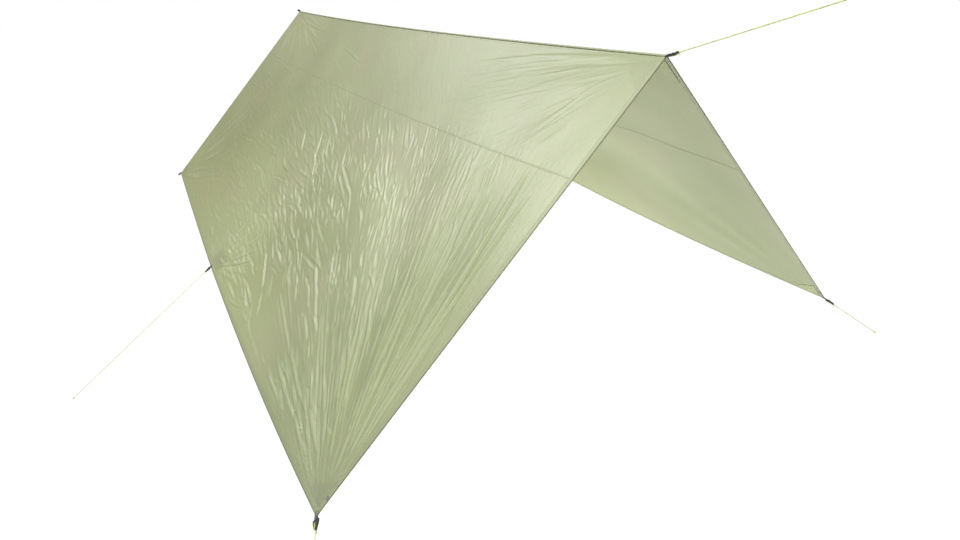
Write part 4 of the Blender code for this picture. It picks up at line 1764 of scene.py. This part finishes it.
@dataclass
class RidgeSeam:
    """The rolled seam on the ridge, which hangs a little between the tie-outs.

    Attributes:
        material: The rolled cloth.
        step: Spacing of its sections.
        sides: Points round a section.
        height: Height of the roll as a share of its width.
        pucker: How far the stitching draws it in.
        pucker_pitch: Length of one pucker.
        wander: How far a pucker shifts, in radians, and how soon that changes, in radians for each metre.
    """

    material: Material
    step: float = 0.006
    sides: int = 14
    height: float = 0.8
    pucker: float = 0.0003
    pucker_pitch: float = 0.024
    wander: Span = (1.7, 9.1)

    def build(self) -> None:
        """Make the roll."""
        count = round(RIDGE_LENGTH / self.step)
        along = np.linspace(0.0, RIDGE_LENGTH, count + 1)
        u = along / RIDGE_LENGTH
        sag = RIDGE_SAG * 4 * u * (1 - u)
        angle = 2 * math.pi * np.arange(self.sides) / self.sides
        radius = RIDGE_SEAM_RADIUS - self.pucker + puckers(along, self.pucker, self.pucker_pitch, *self.wander)
        x = radius[:, None] * np.cos(angle)
        z = self.height * radius[:, None] * np.sin(angle) - sag[:, None]
        y = np.broadcast_to(along[:, None], x.shape)
        rings = np.stack([x, y, z], -1)
        made = mesh_object("ridge_roll", rings, tube_faces(count + 1, self.sides), self.material)
        plan = np.stack([y, np.broadcast_to(angle * RIDGE_SEAM_RADIUS, x.shape)], -1).reshape(-1, 2)
        store_map(made, PLAN_MAP, plan)
        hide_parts("ridge_seam")
        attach(made, "ridge")
        LOG.info("ridge roll, %d sections", count + 1)


@dataclass
class SlopeCloth:
    """The cloth of one slope: two panels, the seam between them, three hems and five patches.

    Attributes:
        slope: The surface that they follow.
        panel: Material of the panels.
        seam: Material of the felled seam.
        hem: Material of the hems.
        patch: Material of the patches.
        fine: Spacing of the panels' points along and down, in metres, where the small creases are dense.
        coarse: Spacing of points along and down at the back.
        even: How far from the front the fine spacing goes.
        most: Most triangles in one piece of a panel, which is drawn in lengths that meet edge to edge.
        bend: How far down the slope the cloth turns as it folds about the ridge. It is not used.
        fold_steps: Spacing of a fold's points along the ridge at the front and at the back.
        fold_rows: Points across a fold.
        side_rows: Points down a side hem.
        patch_leg: How far a corner patch reaches along each edge.
        patch_tip: Width of its two tips.
        mid_patch: Half the length of the patch at the middle tie-out, and its depth.
        patch_rows: Points across a patch each way.
    """

    slope: SlopeSurface
    panel: Material
    seam: Material
    hem: Material
    patch: Material
    fine: Span = (0.0029, 0.0039)
    coarse: Span = (0.0105, 0.0080)
    even: float = 0.9
    most: int = 190000
    bend: float = 0.10
    fold_steps: Span = (0.0048, 0.0085)
    fold_rows: int = 7
    side_rows: int = 190
    patch_leg: float = 0.095
    patch_tip: float = 0.015
    mid_patch: float = 0.06
    patch_rows: int = 15

    def hinge(self, made: Object) -> None:
        """Bake a piece's place into its mesh.

        Args:
            made: The piece.
        """
        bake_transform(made)  # fmt: skip

    def grid(self, span: Array, upper: Line, lower: Line, rows: int) -> tuple[Array, Array]:
        """Spread rows evenly between two lines down the slope.

        Args:
            span: Places along the ridge.
            upper: The upper line.
            lower: The lower line.
            rows: Number of rows of points.

        Returns:
            Along and down, columns by rows.
        """
        share = np.linspace(0.0, 1.0, rows)[None, :]
        top, foot = upper(span)[:, None], lower(span)[:, None]
        down = top + (foot - top) * share
        return np.broadcast_to(span[:, None], down.shape).copy(), down

    @staticmethod
    def pillow(rows: int, half: float) -> Array:
        """Half thickness across a folded edge: thin at both edges and full between them."""
        share = np.linspace(-1.0, 1.0, rows)[None, :]
        return half * (0.45 + 0.55 * np.sqrt(np.clip(1 - share**2, 0.0, 1.0)))

    def build_panels(self) -> None:
        """Make the two panels, which meet under the seam."""
        slope, middle = self.slope, self.slope.seam_line
        far = RIDGE_LENGTH - PANEL_INSET
        front = np.arange(PANEL_INSET, self.even, self.fine[0])
        span = np.concatenate([front, graded(self.even, far, self.fine[0], self.coarse[0])])
        rows = {
            "upper": (level(PANEL_TOP), lambda a: middle(a) - GAP / 2),
            "lower": (lambda a: middle(a) + GAP / 2, level(SLOPE_LENGTH - PANEL_INSET)),
        }
        for place, (upper, lower) in rows.items():
            deep = float(lower(span[:1])[0] - upper(span[:1])[0])
            along, down = self.grid(span, upper, lower, round(deep / self.fine[1]) + 1)
            parts = math.ceil(along.size * 4 / self.most)
            cuts = np.linspace(0, len(span) - 1, parts + 1).astype(int)
            for k, (first, last) in enumerate(zip(cuts[:-1], cuts[1:])):
                part = slice(first, last + 1)
                name = f"{slope.name}_{place}_cloth" + (f"_{k + 1}" if parts > 1 else "")
                made = cloth_piece(name, slope, along[part], down[part], PANEL_HALF, self.panel)
                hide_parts(f"{slope.name}_{place}_panel")
                self.hinge(made)
                LOG.info("%s, %d by %d points", name, *along[part].shape)

    def build_strips(self) -> None:
        """Make the felled seam and the three rolled hems."""
        middle, half, rows = self.slope.seam_line, SEAM_SHOWN / 2, self.fold_rows
        inner = SLOPE_LENGTH - HEM_WIDTH
        span = graded(0.0, RIDGE_LENGTH, *self.fold_steps)
        along, down = self.grid(span, level(inner), level(SLOPE_LENGTH), rows)
        wave = puckers(span, *FOOT_PUCKERS)[:, None]
        self.strip("foot_hem", along, down, self.pillow(rows, HEM_HALF), self.hem, wave)
        span = graded(SEAM_END, RIDGE_LENGTH - SEAM_END, *self.fold_steps)
        along, down = self.grid(span, lambda a: middle(a) - half, lambda a: middle(a) + half, rows)
        wave = puckers(span, *SEAM_PUCKERS)[:, None]
        self.strip("seam", along, down, self.pillow(rows, SEAM_HALF), self.seam, wave)
        # The side hems end in the foot hem, so they are a little thinner than it
        fall = np.linspace(SIDE_HEM_TOP, inner + SIDE_HEM_TUCK, self.side_rows)
        wave = puckers(fall, *SIDE_PUCKERS)[None, :]
        for place, near in (("front", 0.0), ("back", RIDGE_LENGTH - HEM_WIDTH)):
            along, down = np.meshgrid(np.linspace(near, near + HEM_WIDTH, rows), fall, indexing="ij")
            self.strip(f"{place}_hem", along, down, self.pillow(rows, SIDE_HEM_HALF).T, self.hem, wave)

    def strip(self, place: str, along: Array, down: Array, half: Array, material: Material, wave: Array) -> None:
        """Make one folded strip of cloth.

        Args:
            place: Which strip it is.
            along: Places along the ridge, columns by rows.
            down: Places down the slope, columns by rows.
            half: Half its thickness across it.
            material: Its material.
            wave: The waves that its sewing draws.
        """
        name = f"{self.slope.name}_{place}"
        made = cloth_piece(f"{name}_fold", self.slope, along, down, half, material, ripple=wave)
        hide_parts(name)
        self.hinge(made)
        LOG.info("%s, %d by %d points", made.name, *along.shape)

    def patch_outlines(self) -> dict[str, Array]:
        """Corners of each patch on the cut cloth, in order round it.

        Returns:
            Four corners of each patch, by its name.
        """
        near, leg, tip, reach = HEM_WIDTH + GAP, self.patch_leg, self.patch_tip, self.mid_patch
        foot, middle = SLOPE_LENGTH - HEM_WIDTH - GAP, RIDGE_LENGTH / 2
        found = {}
        for place, end, way in (("front", 0.0, 1), ("back", RIDGE_LENGTH, -1)):
            a, b = end + way * near, end + way * leg
            corner = [(a, foot), (a, SLOPE_LENGTH - leg), (b, foot - tip), (b, foot)]
            found[f"{place}_corner"] = np.array(corner)
            found[f"{place}_ridge"] = np.array([(a, PATCH_TOP), (a, leg), (b, PATCH_TOP + tip), (b, PATCH_TOP)])
        front, back = middle - reach, middle + reach
        found["mid"] = np.array([(front, foot), (front, foot - reach), (back, foot - reach), (back, foot)])
        return found

    def build_patches(self) -> None:
        """Make the reinforcement patches under the cloth."""
        share = np.linspace(0.0, 1.0, self.patch_rows)
        s, t = (grid[..., None] for grid in np.meshgrid(share, share, indexing="ij"))
        for place, (a, b, c, d) in self.patch_outlines().items():
            spread = (1 - s) * ((1 - t) * a + t * b) + s * ((1 - t) * d + t * c)
            along, down = spread[..., 0], spread[..., 1]
            name = f"{self.slope.name}_{place}_patch"
            made = cloth_piece(f"{name}_cloth", self.slope, along, down, PATCH_HALF, self.patch, PATCH_LIFT)
            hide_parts(name)
            self.hinge(made)
            LOG.info("patch %s", name)

    def build(self) -> None:
        """Make all the cloth of the slope."""
        self.build_panels()
        self.build_strips()
        self.build_patches()


@dataclass
class Stitching:
    """The sewing of one slope: straight rows along its seams, hems and patches, and bar tacks at its tie-outs.

    Attributes:
        cloth: The slope's cloth.
        tree: The thread.
        thread: Its material.
        tack_thread: Material of the bar tacks.
        pitch: From stitch to stitch, drawn wider than the real 3 mm so that it shows.
        length: Length of a stitch.
        radius: Of the thread.
        tack_size: The same three sizes of a bar tack, whose stitches lie side by side.
        tack_slant: How far those lean from square to the tack.
        step: Spacing of the points that a row is drawn through.
        run_ends: How far inside the front and back edges the rows along the ridge start and stop.
        fall_ends: The same for the rows down the slope, from the ridge and from the foot.
        lift: Of a row on a single panel, above the cloth.
        edge_points: Points of a row along one edge of a patch.
        hem_rows: The two rows of a hem, in from its outer edge.
        seam_row: The rows of the seam, from its middle.
        ridge_row: The row below the ridge, from it.
        tack: Half the length of a bar tack.
        side_tack: Where one across a side hem starts and ends, in from the hem's outer edge.
        at_corner: The tacks across a corner, from it.
        at_side: The tacks across a side hem, up from the foot.
        at_middle: The tacks at the middle tie-out, up from the foot.
    """

    cloth: SlopeCloth
    tree: Tree
    thread: Material
    tack_thread: Material
    pitch: float = 0.0045
    length: float = 0.0034
    radius: float = 0.00026
    tack_size: tuple[float, float, float] = (0.00055, 0.0032, 0.00030)
    tack_slant: float = 0.25
    step: float = 0.008
    run_ends: Span = (0.003, 0.002)
    fall_ends: Span = (0.006, 0.004)
    lift: float = 0.0001
    edge_points: int = 14
    hem_rows: Span = (0.0030, 0.0125)
    seam_row: float = 0.0014
    ridge_row: float = 0.0085
    tack: float = 0.0055
    side_tack: Span = (0.0015, 0.0135)
    at_corner: Span = (0.008, 0.013)
    at_side: Span = (0.046, 0.051)
    at_middle: Span = (0.004, 0.011)

    def rows(self) -> list[tuple[Array, Array, float]]:
        """Along, down and height of every row, outside first.

        Returns:
            The rows.
        """
        run = np.arange(self.run_ends[0], RIDGE_LENGTH - self.run_ends[1], self.step)
        fall = np.arange(self.fall_ends[0], SLOPE_LENGTH - self.fall_ends[1], self.step)
        middle, on_cloth = self.cloth.slope.seam_line(run), PANEL_HALF + self.lift
        found = []
        for side in (1, -1):
            for inset in self.hem_rows:
                found.append((run, np.full_like(run, SLOPE_LENGTH - inset), side * HEM_HALF))
                # Inside the tarp a side hem has only its inner row
                if side > 0 or inset == self.hem_rows[1]:
                    for along in (inset, RIDGE_LENGTH - inset):
                        found.append((np.full_like(fall, along), fall, side * HEM_HALF))
            found += [(run, middle + way * self.seam_row, side * SEAM_HALF) for way in (-1, 1)]
        found.append((run, np.full_like(run, self.ridge_row), on_cloth))
        for corners in self.cloth.patch_outlines().values():
            for a, b in zip(corners[:-1], corners[1:]):
                edge = a + (b - a) * np.linspace(0.0, 1.0, self.edge_points)[:, None]
                found.append((edge[:, 0], edge[:, 1], on_cloth))
        return found

    def tacks(self) -> list[tuple[Array, Array, float]]:
        """Along, down and height of every bar tack, as short lines across the strain on both sides.

        Returns:
            The tacks.
        """
        found = []
        span, edge, slant = np.linspace(-self.tack, self.tack, 4), np.linspace(*self.side_tack, 4), math.sqrt(0.5)
        for way, end in ((1, 0.0), (-1, RIDGE_LENGTH)):
            for reach in self.at_corner:
                along = end + way * (reach * slant + span * slant)
                found.append((along, SLOPE_LENGTH - (reach * slant - span * slant)))
            found += [(end + way * edge, np.full(4, SLOPE_LENGTH - reach)) for reach in self.at_side]
        found += [(RIDGE_LENGTH / 2 + span, np.full(4, SLOPE_LENGTH - reach)) for reach in self.at_middle]
        return [(along, down, height) for along, down in found for height in (HEM_HALF, -HEM_HALF)]

    def sew(
        self,
        what: str,
        lines: list[tuple[Array, Array, float]],
        size: tuple[float, float, float],
        thread: Material,
        across: bool = False,
    ) -> None:
        """Sew threads along lines on the cloth.

        Args:
            what: What the piece is called.
            lines: Along, down and height of each line.
            size: Pitch, length and radius of the threads.
            thread: Their material.
            across: Whether they lie across their line, and not along it.
        """
        paths, lies = [], []
        for along, down, height in lines:
            point, _, _, out = self.cloth.slope.frames(along, down)
            paths.append(point + out * height)
            ahead = unit(np.gradient(paths[-1], axis=0))
            lies.append(unit(np.cross(out, ahead) + self.tack_slant * ahead) if across else ahead)
        values = dict(zip(THREAD_SIZES, size)) | {"Thread": thread}
        made = grown(f"{self.cloth.slope.name}_{what}", paths, self.tree, values, lies)
        self.cloth.hinge(made)
        LOG.info("%s, %d faces", made.name, len(made.data.polygons))

    def build(self) -> None:
        """Sew the slope."""
        self.sew("stitches", self.rows(), (self.pitch, self.length, self.radius), self.thread)
        self.sew("bar_tacks", self.tacks(), self.tack_size, self.tack_thread, across=True)


def dress_adjusters(material: Material) -> None:
    """Give the moulded line adjusters their plastic.

    Args:
        material: The plastic.
    """
    for tie in TIE_OUTS:
        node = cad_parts[f"{tie.name}_adjuster"]
        for place in node.material_slots:
            place.material = material
    LOG.info("adjusters dressed")


def main() -> None:
    """Build the view, the guy lines, the cloth and its fittings."""
    logging.basicConfig(level=logging.INFO, format="%(name)s: %(message)s")
    bpy.context.scene.view_settings.view_transform = "Standard"
    Photographer().build()
    Studio().build()
    cord = CordFinish().build()
    braid = braid_tree()
    for tie in TIE_OUTS:
        if tie.cord:
            GuyLine(tie, braid, cord).build()
    webbing = WebbingFinish().build()
    for tie in TIE_OUTS:
        WebbingLoop(tie, webbing).build()
    # Injection-moulded acetal: smooth black plastic with a soft shine and hardly any grain
    plastic = PlainFinish("moulded acetal, black", "#1D1E20", "#131415", 0.36, 0.0006, 0.00002).build()
    dress_adjusters(plastic)
    # One layer of coated nylon: a soft sheen, and light shows through it
    single = ClothFinish("coated ripstop nylon, sage", "#A6AC8A", "#959C76", "#A9A48C", 0.36, 0.38)
    panel = single.build()
    # Four layers sewn flat: less light comes through, so it reads darker
    seam = ClothFinish(
        "felled nylon seam, sage", "#9CA280", "#8C936C", "#9C977E", 0.22, 0.44, folds=0.0, gloss=0.4
    ).build()
    # Three layers rolled: darker than the panels, with painted shade along the free edge where the fold turns under
    hem = ClothFinish(
        "rolled nylon hem, sage", "#969C7A", "#868D6A", "#98937C", 0.16, 0.46, folds=0.0, gloss=0.35, rim=0.0045
    ).build()
    # A second layer behind the panel: duller, and it stops more of the light
    patch = ClothFinish("nylon reinforcement, sage", "#9CA477", "#8B9466", "#9A967C", 0.15, 0.50, folds=0.0).build()
    RidgeSeam(hem).build()
    # The same cloth drawn flat: its fine streaks hardly show
    calm = replace(single, name="coated ripstop nylon, sage, drawn flat", folds=0.12).build()
    # Bonded polyester, twisted hard: matt, with the grain of its plies, paler in the rows than in the tacks
    thread = PlainFinish("bonded polyester thread, olive", "#8F9870", "#737B54", 0.7, 0.0008, 0.00003, 0.2).build()
    tack = PlainFinish("bonded polyester thread, dark", "#4A4E3B", "#33362A", 0.75, 0.0008, 0.00003, 0.2).build()
    sewn = thread_tree()
    for surface in (LEFT, RIGHT):
        cloth = SlopeCloth(surface, panel, seam, hem, patch)
        if surface is RIGHT:
            # Its creases are broad, so its points lie wider apart
            cloth.panel, cloth.fine, cloth.coarse = calm, (0.0080, 0.0085), (0.0120, 0.0085)
        cloth.build()
        Stitching(cloth, sewn, thread, tack).build()
    LOG.info("size written")


if __name__ == "__main__":
    main()
